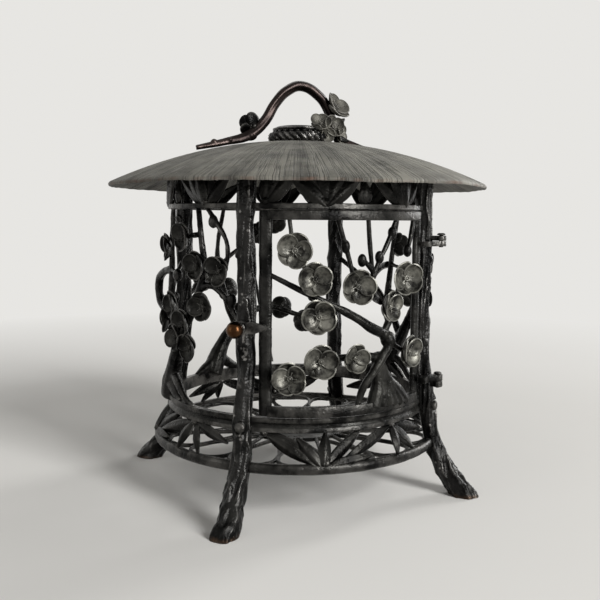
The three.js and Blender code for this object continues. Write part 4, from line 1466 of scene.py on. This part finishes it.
@dataclass
class Hoops(Part):
    """The four hoops of the cage."""

    radius: float = 76.4
    wall: float = 2.8
    base: Place = (47.4, 55.2)
    upper: Place = (162.8, 165.8)
    top: Place = (184.2, 188.2)
    lower_radius: float = 85.5
    lower: Place = (27.6, 33.0)

    def make(self) -> None:
        """Builds the hoops and hands them in."""
        r, w = self.radius, self.wall
        for name, (low, high) in (("upper_hoop", self.upper), ("top_hoop", self.top)):
            band = [(r - w, low), (r - 0.4, low), (r, low + 0.4), (r, high - 0.4), (r - 0.4, high),
                    (r - w, high)]
            self.finish(name, band)
        low, high = self.base
        base = [(r - w, low), (r + 0.4, low), (r + 0.9, low + 0.5), (r + 0.9, low + 2.2), (r + 0.5, low + 2.8),
                (r - 0.1, low + 3.5), (r - 0.1, high - 3.5), (r + 0.5, high - 2.8), (r + 0.9, high - 2.2),
                (r + 0.9, high - 0.5), (r + 0.4, high), (r - w, high)]
        self.finish("base_hoop", base)
        r, (low, high) = self.lower_radius, self.lower
        bead = [(r - 3.2, low), (r - 1.4, low), (r - 0.4, low + 0.7), (r, low + 1.8), (r, high - 1.8),
                (r - 0.4, high - 0.7), (r - 1.4, high), (r - 3.2, high)]
        self.finish("lower_hoop", bead)

    def finish(self, node: str, profile: Sequence[Place]) -> None:
        """Turns one hoop and gives it its cast unevenness.

        Args:
            node: the node it stands for.
            profile: its section, mm.
        """
        hoop = turned(f"{node}_band", profile, 240)
        relief(hoop, "CLOUDS", 6.0, 0.3)
        self.bench.hand_in(smooth(hoop, 40), [node], "plain")


@dataclass
class Floor(Part):
    """The floor: a ring of wire petals round a plate."""

    outer: float = 81.6
    wire: float = 2.3
    petals: int = 16
    plate: float = 29.0
    bottom: float = 29.2
    top: float = 31.4

    def loop(self) -> bpy.types.Object:
        """One petal of round wire with its open end at the plate.

        Returns:
            The petal.
        """
        level = (self.bottom + self.top) / 2
        inner, outer = self.plate - 0.5, self.outer - self.wire
        pitch = 180 / self.petals
        half = outer * math.tan(math.radians(pitch)) * 0.86
        places = [(inner, 0.5), (blend(inner, outer, 0.35), half * 0.52),
                  (blend(inner, outer, 0.68), half * 0.9), (blend(inner, outer, 0.9), half * 0.8),
                  (outer, half * 0.12)]
        right = [Vector((x, -y, level)) * MM for y, x in places]
        left = [Vector((-x, -y, level)) * MM for y, x in reversed(places)]
        run = [*right, *left]
        return limb(run, [self.wire] * len(run))

    def make(self) -> None:
        """Builds the floor and hands it in."""
        petal = self.loop()
        parts = [copy_of(petal, f"petal_wire_{i}", Matrix.Rotation(math.tau * i / self.petals, 4, "Z"))
                 for i in range(self.petals)]
        drop(petal)
        low, high, r = self.bottom, self.top, self.plate
        plate = [(0.05, low), (r + 1.2, low), (r + 1.8, low + 0.6), (r + 1.8, high - 0.5), (r + 1.3, high),
                 (r - 1, high), (r - 1.6, high - 0.35), (0.05, high - 0.35)]
        parts.append(turned("plate", plate, 96))
        r = self.outer
        rim = [(r - 2.4, low + 0.1), (r, low + 0.1), (r, high - 0.1), (r - 2.4, high - 0.1)]
        parts.append(turned("rim", rim, 160))
        whole = join("floor_petals", parts)
        relief(whole, "CLOUDS", 4.0, 0.2)
        self.bench.hand_in(smooth(whole, 40), ["floor_grille"], "plain")


@dataclass
class Leafwork(Part):
    """The bamboo leaves under the roof and below the base hoop."""

    frieze_low: float = 165.8
    frieze_high: float = 184.2
    radius: float = 75.0
    skirt_low: float = 33.0
    skirt_high: float = 47.4
    low_radius: float = 83.9
    frieze_width: float = 8.6
    skirt_width: float = 6.8
    wall: float = 1.3
    quarters: dict[str, float] = field(default_factory=lambda: {
        "front": 0, "right": 90, "back": 180, "left": -90})

    def frieze_point(self, bearing: float, share: float, out: float = 0) -> Vector:
        """A point of the frieze at a bearing and a share of its height."""
        return at(bearing, self.radius + out, blend(self.frieze_low, self.frieze_high, share))

    def skirt_point(self, bearing: float, share: float, out: float = 0) -> Vector:
        """A point of the skirt at a bearing and a share of its height."""
        radius = blend(self.low_radius, self.radius, share)
        return at(bearing, radius + out, blend(self.skirt_low, self.skirt_high, share))

    def spray(self, point: Callable[..., Vector], centre: float, width: float,
              leaves: Sequence[tuple[Place, Place]]) -> list[bpy.types.Object]:
        """Leaves between two hoops.

        Args:
            point: gives a place on the shell.
            centre: the quarter's bearing, degrees.
            width: a leaf's width, mm.
            leaves: each leaf's base and tip as bearing and height share.

        Returns:
            The leaves.
        """
        made = []
        for index, ((b0, s0), (b1, s1)) in enumerate(leaves):
            out = -0.9 + 0.6 * (index % 4)
            base, tip = point(centre + b0, s0, out), point(centre + b1, s1, out)
            place = BambooLeaf().place(base, tip, outward(centre + (b0 + b1) / 2), width)
            made.append(thick_sheet(copy_of(self.bench.leaf, "leaf_copy", place), self.wall))
        return made

    def make(self) -> None:
        """Builds both bands of leaves and hands them in."""
        fans = [((-37.5, -0.05), [(-37, 0.95), (-31, 1.06), (-25, 0.95)]),
                ((-14, -0.1), [(-29, 0.85), (-22, 1.06), (-14.5, 1.1), (-7, 1.06), (1, 0.85)]),
                ((2.5, -0.05), [(2.8, 0.6)]),
                ((25, -0.1), [(5, 0.85), (13, 1.06), (21, 1.1), (29, 1.08), (37, 0.8)])]
        frieze = [(base, tip) for base, tips in fans for tip in tips]
        skirt = [((-38, 0.98), (-16, 0.12)), ((-36.5, 0.88), (-18, -0.05)),
                 ((-16.5, -0.05), (-25, 0.85)), ((-15.5, -0.05), (-13.5, 1.03)), ((-14.5, -0.05), (3, 1.03)),
                 ((-13, -0.06), (4, 0.12)), ((17, 0.95), (-9, 0.03)), ((17.5, 0.95), (15, 0.0)),
                 ((18, 0.95), (26, -0.03)), ((18.5, 0.95), (38, 0.5))]
        bands = (("frieze", self.frieze_point, self.frieze_width, frieze, 5.0,
                  ((-37.5, 0.04), (-14, 0.04), (25, 0.04))),
                 ("skirt", self.skirt_point, self.skirt_width, skirt, 4.6,
                  ((-38, 0.97), (-14.5, 0.03), (17.7, 0.95))))
        for name, centre in self.quarters.items():
            for band, point, width, leaves, stem, roots in bands:
                parts = self.spray(point, centre, width, leaves)
                stems = [ball(point(centre + bearing, share), stem) for bearing, share in roots]
                whole = join(f"{band}_spray_{name}", [*parts, *stems])
                self.bench.hand_in(whole, [f"{band}_leaves_{name}"], "leaf")


# Openwork


@dataclass(frozen=True)
class Shell:
    """The cylinder that a quarter's openwork lies on."""

    low: float
    high: float
    centre: float = 0.0
    mirror: int = 1
    radius: float = 75.0

    def point(self, bearing: float, share: float, out: float = 0.0) -> Vector:
        """A place on the shell.

        Args:
            bearing: degrees from the quarter's centre.
            share: height as a share of the opening.
            out: extra distance from the axis, mm.

        Returns:
            The point in metres.
        """
        return at(self.centre + self.mirror * bearing, self.radius + out, blend(self.low, self.high, share))

    def away(self, bearing: float) -> Vector:
        """The way out of the lantern at a bearing of the quarter."""
        return outward(self.centre + self.mirror * bearing)


@dataclass
class Openwork:
    """Branches, spurs, buds and blossoms of one quarter."""

    shell: Shell
    limbs: Sequence[tuple[float, float, Sequence[Place]]]
    blossoms: Sequence[Place] = ()
    buds: Sequence[Place] = ()
    roots: Sequence[tuple[float, float, Sequence[Place]]] = ()
    size: float = 17.6

    def branches(self) -> list[bpy.types.Object]:
        """The limbs and roots of the plum."""
        return [tapered([self.shell.point(*place) for place in run], start, end)
                for start, end, run in (*self.limbs, *self.roots)]

    def nearest(self, place: Vector) -> Vector:
        """Finds where a spur grows from.

        Args:
            place: the spur's end.

        Returns:
            The nearest point of the limbs.
        """
        best = None
        for _, _, run in self.limbs:
            points = [self.shell.point(*p) for p in run]
            for a, b in zip(points, points[1:]):
                share = max(0.0, min(1.0, (place - a).dot(b - a) / max(1e-12, (b - a).length_squared)))
                spot = a.lerp(b, share)
                if best is None or (spot - place).length < (best - place).length:
                    best = spot
        return best

    def spur(self, place: Vector, width: float) -> bpy.types.Object:
        """A short stem from the nearest limb.

        Args:
            place: where it ends.
            width: its thickness, mm.

        Returns:
            The stem.
        """
        start = self.nearest(place)
        along = (place - start).normalized() * 0.6 * MM
        return limb([start - along, place + along], [width * 1.25, width])

    def bud(self, place: Vector) -> bpy.types.Object:
        """A swollen bud."""
        return ball(place, 6.0, (0.9, 0.9, 1.25), 3)

    def flower(self, master: bpy.types.Object, name: str, place: Place) -> bpy.types.Object:
        """One blossom of a fixed quarter.

        Args:
            master: the blossom that repeats.
            name: its name.
            place: bearing, height share, spin and lift of the blossom.

        Returns:
            The blossom.
        """
        bearing, share, spin, *more = place
        lift, lean = (more + [0.8, 0.0])[:2]
        spot = self.shell.point(bearing, share, lift)
        look = self.shell.away(bearing + lean)
        return copy_of(master, name, facing(spot, look, spin, (self.size * MM,) * 3))


@dataclass
class FixedQuarters(Part):
    """The plum openwork of the left, back and right quarters."""

    low: float = 55.5
    high: float = 162.6

    def side(self, centre: float, mirror: int) -> Openwork:
        """A side quarter's plum.

        Args:
            centre: the quarter's bearing, degrees.
            mirror: one, or minus one where left and right change places.

        Returns:
            The openwork.
        """
        return Openwork(
            Shell(self.low, self.high, centre, mirror),
            limbs=[(14, 5, [(-15, -0.02), (-12, 0.06), (-6, 0.15), (1, 0.26), (8, 0.38)]),
                   (5, 3, [(8, 0.38), (14, 0.46), (19, 0.56), (23.5, 0.7), (22, 0.86), (20.2, 1.01)]),
                   (4, 2.6, [(21, 0.6), (27, 0.625), (33, 0.59), (41, 0.46)]),
                   (2.8, 2.6, [(25, 1.01), (31, 0.93), (36, 0.82), (34.5, 0.7), (31, 0.61)]),
                   (5, 3, [(0, 0.24), (-7, 0.36), (-14, 0.46), (-22, 0.55), (-32, 0.62), (-41, 0.7)]),
                   (5.2, 4.6, [(-16, 0.44), (-23, 0.46, 5), (-27, 0.51, 8.5), (-26, 0.59, 8.5), (-20, 0.65, 5),
                               (-11, 0.68)]),
                   (4.6, 2.8, [(-12, 0.42), (-10.5, 0.57), (-8, 0.78), (-4, 1.01)])],
            roots=[(9, 3.5, [(-13, 0.07), (-20, 0.025), (-29, -0.01)]),
                   (9, 3.5, [(-12, 0.08), (-5, 0.04), (4, -0.01)]),
                   (6, 2.5, [(-9, 0.12), (0, 0.09), (9, 0.02), (16, -0.01)])],
            blossoms=[(21.2, 0.72, 20), (33, 0.7, -10), (11.5, 0.42, 10), (0, 0.5, 30), (16, 0.3, 0),
                      (-7.4, 0.8, 15), (12, 0.86, 0), (-14, 0.4, 30, 1.5), (7, 0.34, 50, 2.4),
                      (25, 0.52, 40, 1.4, 6)],
            buds=[(29, 0.94), (-31, 0.5), (2, 0.66), (38, 0.56)])

    def back(self) -> Openwork:
        """The back quarter's plum.

        Returns:
            The openwork.
        """
        return Openwork(
            Shell(self.low, self.high, 180),
            limbs=[(14, 5, [(24, -0.02), (21, 0.07), (17, 0.16), (11, 0.25), (4, 0.34)]),
                   (5, 3, [(4, 0.34), (-4, 0.37), (-12, 0.38), (-20, 0.35), (-27, 0.33), (-41, 0.42)]),
                   (5, 2.8, [(9, 0.28), (13, 0.38), (16, 0.5), (19.6, 0.64), (20, 0.78), (16, 1.01)]),
                   (3, 2.6, [(19.5, 0.64), (12, 0.72), (2, 0.8), (-9, 0.9), (-20, 1.01)]),
                   (4, 2.8, [(15, 0.46), (21, 0.52), (27, 0.56), (34, 0.55), (41, 0.5)])],
            roots=[(9, 3.5, [(22, 0.06), (29, 0.02), (36, -0.01)]),
                   (9, 3.5, [(20, 0.09), (13, 0.03), (6, -0.01)])],
            blossoms=[(-17, 0.37, 0), (-29, 0.28, 20), (18, 0.64, 10), (-14, 0.93, 0), (27, 0.57, 20),
                      (4, 0.34, 0), (-6, 0.86, 35, 1.4), (11, 0.5, 25, 1.4)],
            buds=[(2, 0.8), (36, 0.53), (-33, 0.45)])

    def make(self) -> None:
        """Builds the three quarters and hands them in."""
        works = {"left": self.side(-90, 1), "right": self.side(90, -1), "back": self.back()}
        for name, work in works.items():
            spots = [work.shell.point(b, s, 1.2) for b, s, *_ in work.blossoms]
            stems = [work.spur(spot, 2.6) for spot in spots]
            buds = [work.shell.point(*place) for place in work.buds]
            stems += [work.spur(place, 2.2) for place in buds] + [work.bud(place) for place in buds]
            branches = cast(f"plum_{name}", [*work.branches(), *stems], 0.62, 0.55)
            self.bench.finishes.dress(branches, "trunk" if name == "back" else "bark")
            flowers = [work.flower(self.bench.blossom, f"flower_{name}_{i}", place)
                       for i, place in enumerate(work.blossoms)]
            # These blossoms take the dark trunk finish, not the pale petal finish of the door's blossoms: their
            # darkness is painted shade.
            for flower in flowers:
                self.bench.finishes.dress(flower, "trunk")
            whole = join(f"plum_{name}", [branches, *flowers])
            self.bench.hand_in(whole, [f"plum_panel_{name}"])


@dataclass
class Door(Part):
    """The door: stiles, rails, the plum and its ten blossoms."""

    low: float = 55.7
    high: float = 162.3
    stile_bearing: float = 37.6
    stile_width: float = 6.0
    stile_depth: float = 0.7
    bottom_rail: float = 5.6
    top_rail: float = 5.0
    rail_depth: float = 3.6
    radius: float = 76.0
    blossom: float = 20.2

    @property
    def shell(self) -> Shell:
        """The shell between the rails."""
        return Shell(self.low + self.bottom_rail, self.high - self.top_rail)

    def stile(self, name: str, bearing: float) -> None:
        """One stile, swollen at its joints as bamboo is.

        Args:
            name: the node it stands for.
            bearing: where it stands, degrees.
        """
        steps = 14
        heights = [blend(self.low + 0.3, self.high - 0.3, i / steps) for i in range(steps + 1)]
        widths = [self.stile_width + (0.3 if i % 2 else 0.0) for i in range(steps + 1)]
        body = limb([at(bearing, self.radius, z) for z in heights], widths)
        rings = [ball(at(bearing, self.radius, heights[i]), self.stile_width + 0.7, (1, 1, 0.2))
                 for i in (2, 6, 7, 11)]
        whole = cast(f"{name}_rod", [body, *rings], 0.45, 0.2)
        out = outward(bearing)
        along = out.cross(Vector((0, 0, 1)))
        middle = out * self.radius * MM

        def flatten(corner: Vector) -> Vector:
            """Makes the rod wider than it is deep and sets it inward.

            Args:
                corner: a corner of the rod.

            Returns:
                Its new place.
            """
            deep, wide = (corner - middle).dot(out), (corner - middle).dot(along)
            return corner + out * (deep * (self.stile_depth - 1) - 1.2 * MM) + along * wide * 0.16

        self.bench.hand_in(reshape(whole, flatten), [name], "plain", Body.DOOR)

    def rail(self, name: str, bottom: float, height: float) -> None:
        """One curved rail.

        Args:
            name: the node it stands for.
            bottom: its lower edge, mm.
            height: its height, mm.
        """
        bpy.ops.mesh.primitive_plane_add(size=1)
        rail = active()
        rail.data.transform(Matrix.Diagonal((self.rail_depth * MM, height * MM, 1, 1)))
        rail.data.transform(Matrix.Rotation(math.radians(90), 4, "X"))
        middle = Matrix.Translation((0, 0, (bottom + height / 2) * MM))
        reach = self.stile_bearing - 1.2
        side = Matrix.Rotation(math.radians(-90 - reach), 4, "Z") @ Matrix.Translation((self.radius * MM, 0, 0))
        rail.data.transform(middle @ side)
        with editing(rail):
            bpy.ops.mesh.spin(steps=40, angle=math.radians(-2 * reach), center=(0, 0, 0), axis=(0, 0, 1))
        mend(rail)
        modify(rail, "BEVEL", width=0.45 * MM, segments=2, limit_method="ANGLE",
               angle_limit=math.radians(40))
        self.bench.hand_in(smooth(named(rail, f"{name}_bar"), 40), [name], "plain", Body.DOOR)

    def plum(self) -> Openwork:
        """The door's plum with its trunk, curling stem and limbs.

        Returns:
            The openwork, whose blossoms are pieces of their own.
        """
        fork = (13, 0.375)
        return Openwork(self.shell, limbs=[
            (9, 5, [(15.5, -0.03), (14.4, 0.03), (13, 0.08), (10.8, 0.17), (9, 0.27)]),
            (3.6, 5.8, [(0, -0.03), (2.5, 0.09, 1), (6, 0.165, 2.4), (10.5, 0.25, 2.8), (14.2, 0.32, 2), fork]),
            (6, 2.6, [fork, (7, 0.41), (1, 0.46), (-5, 0.505), (-10.9, 0.545), (-24, 0.63), (-37.5, 0.72)]),
            (2.6, 2.4, [(-19, 0.6), (-18.4, 0.69), (-23, 0.76), (-26, 0.84), (-28.5, 1.02)]),
            (2.6, 2.6, [(-10.9, 0.545), (-14, 0.52), (-17.1, 0.49)]),
            (4.4, 2.8, [fork, (17, 0.47), (19.6, 0.55, 0.6), (20.6, 0.683, 2.4)]),
            (2.6, 2.4, [(15.5, 0.43), (14, 0.48), (12.5, 0.533, 1)]),
            (4, 2.6, [fork, (17, 0.33), (20, 0.3), (26.1, 0.259)]),
            (4.6, 2.6, [(9, 0.25), (3, 0.26), (-2.8, 0.262), (-9, 0.258), (-16.2, 0.251), (-27.6, 0.159),
                        (-37.5, 0.13)]),
        ], roots=[
            (8.6, 5, [(15.5 + b, -0.03), (14.2 + b * 0.62, 0.04), (12.4 + b * 0.3, 0.11),
                      (10.4 + b * 0.12, 0.19), (9, 0.27)]) for b in (-7.6, -3.8, 3.8, 7.6, 11.5)])

    def make(self) -> None:
        """Builds the door and hands its pieces in."""
        self.stile("door_latch_stile", -self.stile_bearing)
        self.stile("door_hinge_stile", self.stile_bearing)
        self.rail("door_top_rail", self.high - self.top_rail, self.top_rail)
        self.rail("door_bottom_rail", self.low, self.bottom_rail)
        plum = self.plum()
        knuckle = ball(plum.shell.point(14.4, 0.343, 1.6), 8.8, (1, 0.9, 1.1))
        whole = cast("door_plum", [*plum.branches(), knuckle], 0.5, 0.35)
        self.bench.hand_in(whole, ["door_plum_trunk"], "trunk", Body.DOOR)
        self.twigs()
        self.flowers(plum)

    def twigs(self) -> None:
        """The twigs that hang from the top rail."""
        sets = {
            "middle": ([[(-9.6, 1.02), (-6.6, 0.89), (-3.5, 0.754), (-1.5, 0.646)]], [(-6, 0.86)]),
            "right": ([[(4, 1.02), (5, 0.87), (6.8, 0.69)], [(20, 1.02), (14, 0.87), (8.8, 0.754), (6.8, 0.69)],
                       [(6.8, 0.72), (1.5, 0.8)]], [(1.5, 0.785), (17, 0.93), (10, 0.8)]),
            "hinge": ([[(33, 1.02), (31, 0.92), (28, 0.827)]], [(28, 0.83)]),
        }
        for name, (runs, buds) in sets.items():
            parts = [tapered([self.shell.point(*place) for place in run], 2.7, 2.4) for run in runs]
            parts += [ball(self.shell.point(*place), 5.4, (0.9, 0.9, 1.3), 3) for place in buds]
            whole = cast(f"twig_{name}", parts, 0.35, 0.25)
            self.bench.hand_in(whole, [f"door_twig_{name}"], "twig", Body.DOOR)

    def flowers(self, plum: Openwork) -> None:
        """The ten blossoms, each on its stem.

        Args:
            plum: the door's plum.
        """
        places = {
            "top_left": (-26, 0.84, 0, 0, 1, 0), "upper_left": (-18.4, 0.69, 0, 0, 0.97, 30),
            "upper_middle": (-1.5, 0.646, 0.6, -12, 1, 10), "upper_right": (20.6, 0.683, 3, -22, 1, 40),
            "side": (12.5, 0.533, 1, 14, 0.92, 20), "middle_left": (-17.1, 0.49, 0, 0, 1, 50),
            "lower_left": (-16.2, 0.251, 0.6, 0, 1, 15), "bottom_left": (-27.6, 0.159, 0, 0, 0.96, 35),
            "lower_middle": (-2.8, 0.262, 0.9, 6, 0.84, 5), "lower_right": (26.1, 0.259, 0, 0, 1, 25)}
        for name, (bearing, share, out, turn, size, spin) in places.items():
            spot = plum.shell.point(bearing, share, out + 1.6)
            look = outward(bearing + turn)
            pose = facing(spot, look, spin, (self.blossom * size * MM,) * 3)
            flower = copy_of(self.bench.blossom, f"door_flower_{name}", pose)
            stem = limb([plum.shell.point(bearing, share, out - 0.6), spot + look * 0.8 * MM], [3.0, 2.6])
            self.bench.finishes.dress(flower, "petal")
            self.bench.finishes.dress(stem, "twig")
            self.bench.hand_in(join(flower.name, [flower, stem]), [f"door_blossom_{name}"], body=Body.DOOR)


@dataclass
class Fittings(Part):
    """Hinges and latch."""

    latch_height: float = 102.5
    latch_bearing: float = -45.0
    knob: float = 8.8
    knob_centre: float = 91.0

    def make(self) -> None:
        """Rounds the hinge pieces, builds the knob and hands all in."""
        for level in ("upper", "lower"):
            self.bench.softened(f"hinge_bracket_{level}", 0.35, "plain")
            self.bench.softened(f"hinge_pin_{level}", 0.2, "plain")
            self.bench.softened(f"hinge_strap_{level}", 0.35, "plain", Body.DOOR)
        self.bench.softened("latch_tongue", 0.3, "bark", Body.LATCH)
        self.bench.softened("latch_washer", 0.2, "plain", Body.LATCH)
        self.bench.softened("latch_catch", 0.3, "plain", Body.DOOR)
        self.ball_knob()

    def ball_knob(self) -> None:
        """The ball knob, its collar and its shank."""
        r, c = self.knob / 2, self.knob_centre
        arc = [(r * math.cos(math.radians(a)), c + r * math.sin(math.radians(a))) for a in range(-62, 86, 8)]
        stem = [(0.03, 70.2), (1.55, 70.2), (1.55, 84.4), (2.7, 84.5), (2.9, 85.1), (2.2, 85.9), (1.7, 86.9),
                (0.03, 87.4)]
        shank = self.bench.finishes.dress(turned("latch_shank", stem, 48), "plain")
        knob = turned("latch_ball", [(0.03, c - r * 0.9), *arc, (0.03, c + r)], 48)
        self.bench.finishes.dress(knob, "knob")
        knob = join("latch_ball", [knob, shank])
        knob.data.transform(pointing_out(self.latch_bearing, self.latch_height))
        self.bench.hand_in(smooth(mend(knob), 50), ["latch_knob"], None, Body.LATCH, Slot.KNOB)


# Studio


@dataclass
class Studio:
    """Floor, light and camera."""

    bearing: float = -25.22
    distance: float = 468.93
    eye: float = 158.55
    pitch: float = 0.105796
    roll: float = 0.007693
    yaw: float = 0.004159
    lens: float = 46.643
    pale: Place = (0.80, 0.79, 0.765, 1)
    fade: Place = (0.28, 0.85)
    even_light: float = 0.34
    aim: float = 110.0

    def camera(self) -> None:
        """Puts the camera where the photograph was taken."""
        level = math.cos(self.pitch)
        ahead = Vector((math.sin(self.yaw) * level, math.cos(self.yaw) * level, -math.sin(self.pitch)))
        right = Vector((math.cos(self.yaw), -math.sin(self.yaw), 0))
        above = right.cross(ahead)
        upright, tilted = math.cos(self.roll), math.sin(self.roll)
        axes = Matrix((right * upright + above * tilted, above * upright - right * tilted, -ahead)).transposed()
        turn = Matrix.Rotation(math.radians(self.bearing), 3, "Z")
        data = bpy.data.cameras.new("camera")
        data.lens = self.lens
        data.clip_start = 0.01
        cam = bpy.data.objects.new("camera", data)
        spot = Matrix.Translation(at(self.bearing, self.distance, self.eye))
        cam.matrix_world = spot @ (turn @ axes).to_4x4()
        bpy.context.scene.collection.objects.link(cam)
        bpy.context.scene.camera = cam

    def floor(self) -> None:
        """A plain pale floor that runs far back."""
        bpy.ops.mesh.primitive_plane_add(size=8, location=(0, 0, 0))
        floor = named(active(), "floor")
        material = bpy.data.materials.new("pale floor")
        material.use_nodes = True
        graph = Graph(material.node_tree)
        shader = material.node_tree.nodes["Principled BSDF"]
        place, black = graph.place(), (0, 0, 0, 1)
        cloud = graph.noise(place, scale=3, detail=6)
        near = graph.mix(cloud, (0.68, 0.668, 0.64, 1), (0.74, 0.728, 0.70, 1))
        reach = graph.add("VectorMath", {0: place}, operation="LENGTH").outputs["Value"]
        far = graph.math("MULTIPLY", graph.span(reach, *self.fade), graph.seen())
        material.node_tree.links.new(graph.mix(far, near, black), shader.inputs["Base Color"])
        material.node_tree.links.new(graph.mix(far, black, self.pale), shader.inputs["Emission Color"])
        shader.inputs["Emission Strength"].default_value = 1
        shader.inputs["Specular IOR Level"].default_value = 0
        shader.inputs["Roughness"].default_value = 1
        floor.data.materials.append(material)

    def lamp(self, name: str, bearing: float, height: float, distance: float, size: Place,
             power: float) -> None:
        """One soft lamp that looks at the lantern's middle.

        Args:
            name: its name.
            bearing: degrees from the camera's bearing, toward its right.
            height: its height, mm.
            distance: from the axis, mm.
            size: its width and height, metres.
            power: in watts.
        """
        data = bpy.data.lights.new(name, "AREA")
        data.shape = "RECTANGLE"
        data.size, data.size_y = size
        data.energy = power
        lamp = bpy.data.objects.new(name, data)
        spot = at(self.bearing + bearing, distance, height)
        away = spot - Vector((0, 0, self.aim * MM))
        lamp.matrix_world = facing(spot, away, 0, (1, 1, 1))
        bpy.context.scene.collection.objects.link(lamp)

    def world(self) -> None:
        """Even light, with a pale backdrop for the camera and for reflections."""
        world = bpy.data.worlds.new("studio")
        world.use_nodes = True
        bpy.context.scene.world = world
        graph = Graph(world.node_tree)
        back = world.node_tree.nodes["Background"]
        strength = graph.span(graph.seen(), 0, 1, self.even_light, 1.0)
        world.node_tree.links.new(strength, back.inputs["Strength"])
        back.inputs["Color"].default_value = self.pale

    def make(self) -> None:
        """Sets the scene."""
        self.camera()
        self.floor()
        self.world()
        self.lamp("key", bearing=44, height=1180, distance=3000, size=(0.87, 2.2), power=145)
        self.lamp("fill", bearing=-60, height=1040, distance=2700, size=(1.2, 1.5), power=7.2)
        self.lamp("rim", bearing=128, height=960, distance=2400, size=(0.6, 1.75), power=31)
        bpy.context.scene.view_settings.view_transform = "Standard"


def main() -> None:
    """Builds the lantern from the bottom up."""
    logging.basicConfig(level=logging.INFO, format="%(name)s: %(message)s")
    studio = Studio()
    studio.make()
    finishes = Finishes()
    finishes.make()
    bench = Bench(finishes)
    bench.blossom = PlumBlossom().make()
    bench.leaf = BambooLeaf().make()
    for kind in (Posts, Hoops, Floor, Leafwork, FixedQuarters, Door, Fittings, Roof, Crown):
        kind(bench).make()
    Handle(bench, Roof(bench)).make()
    drop(bench.blossom, bench.leaf)


if __name__ == "__main__":
    main()
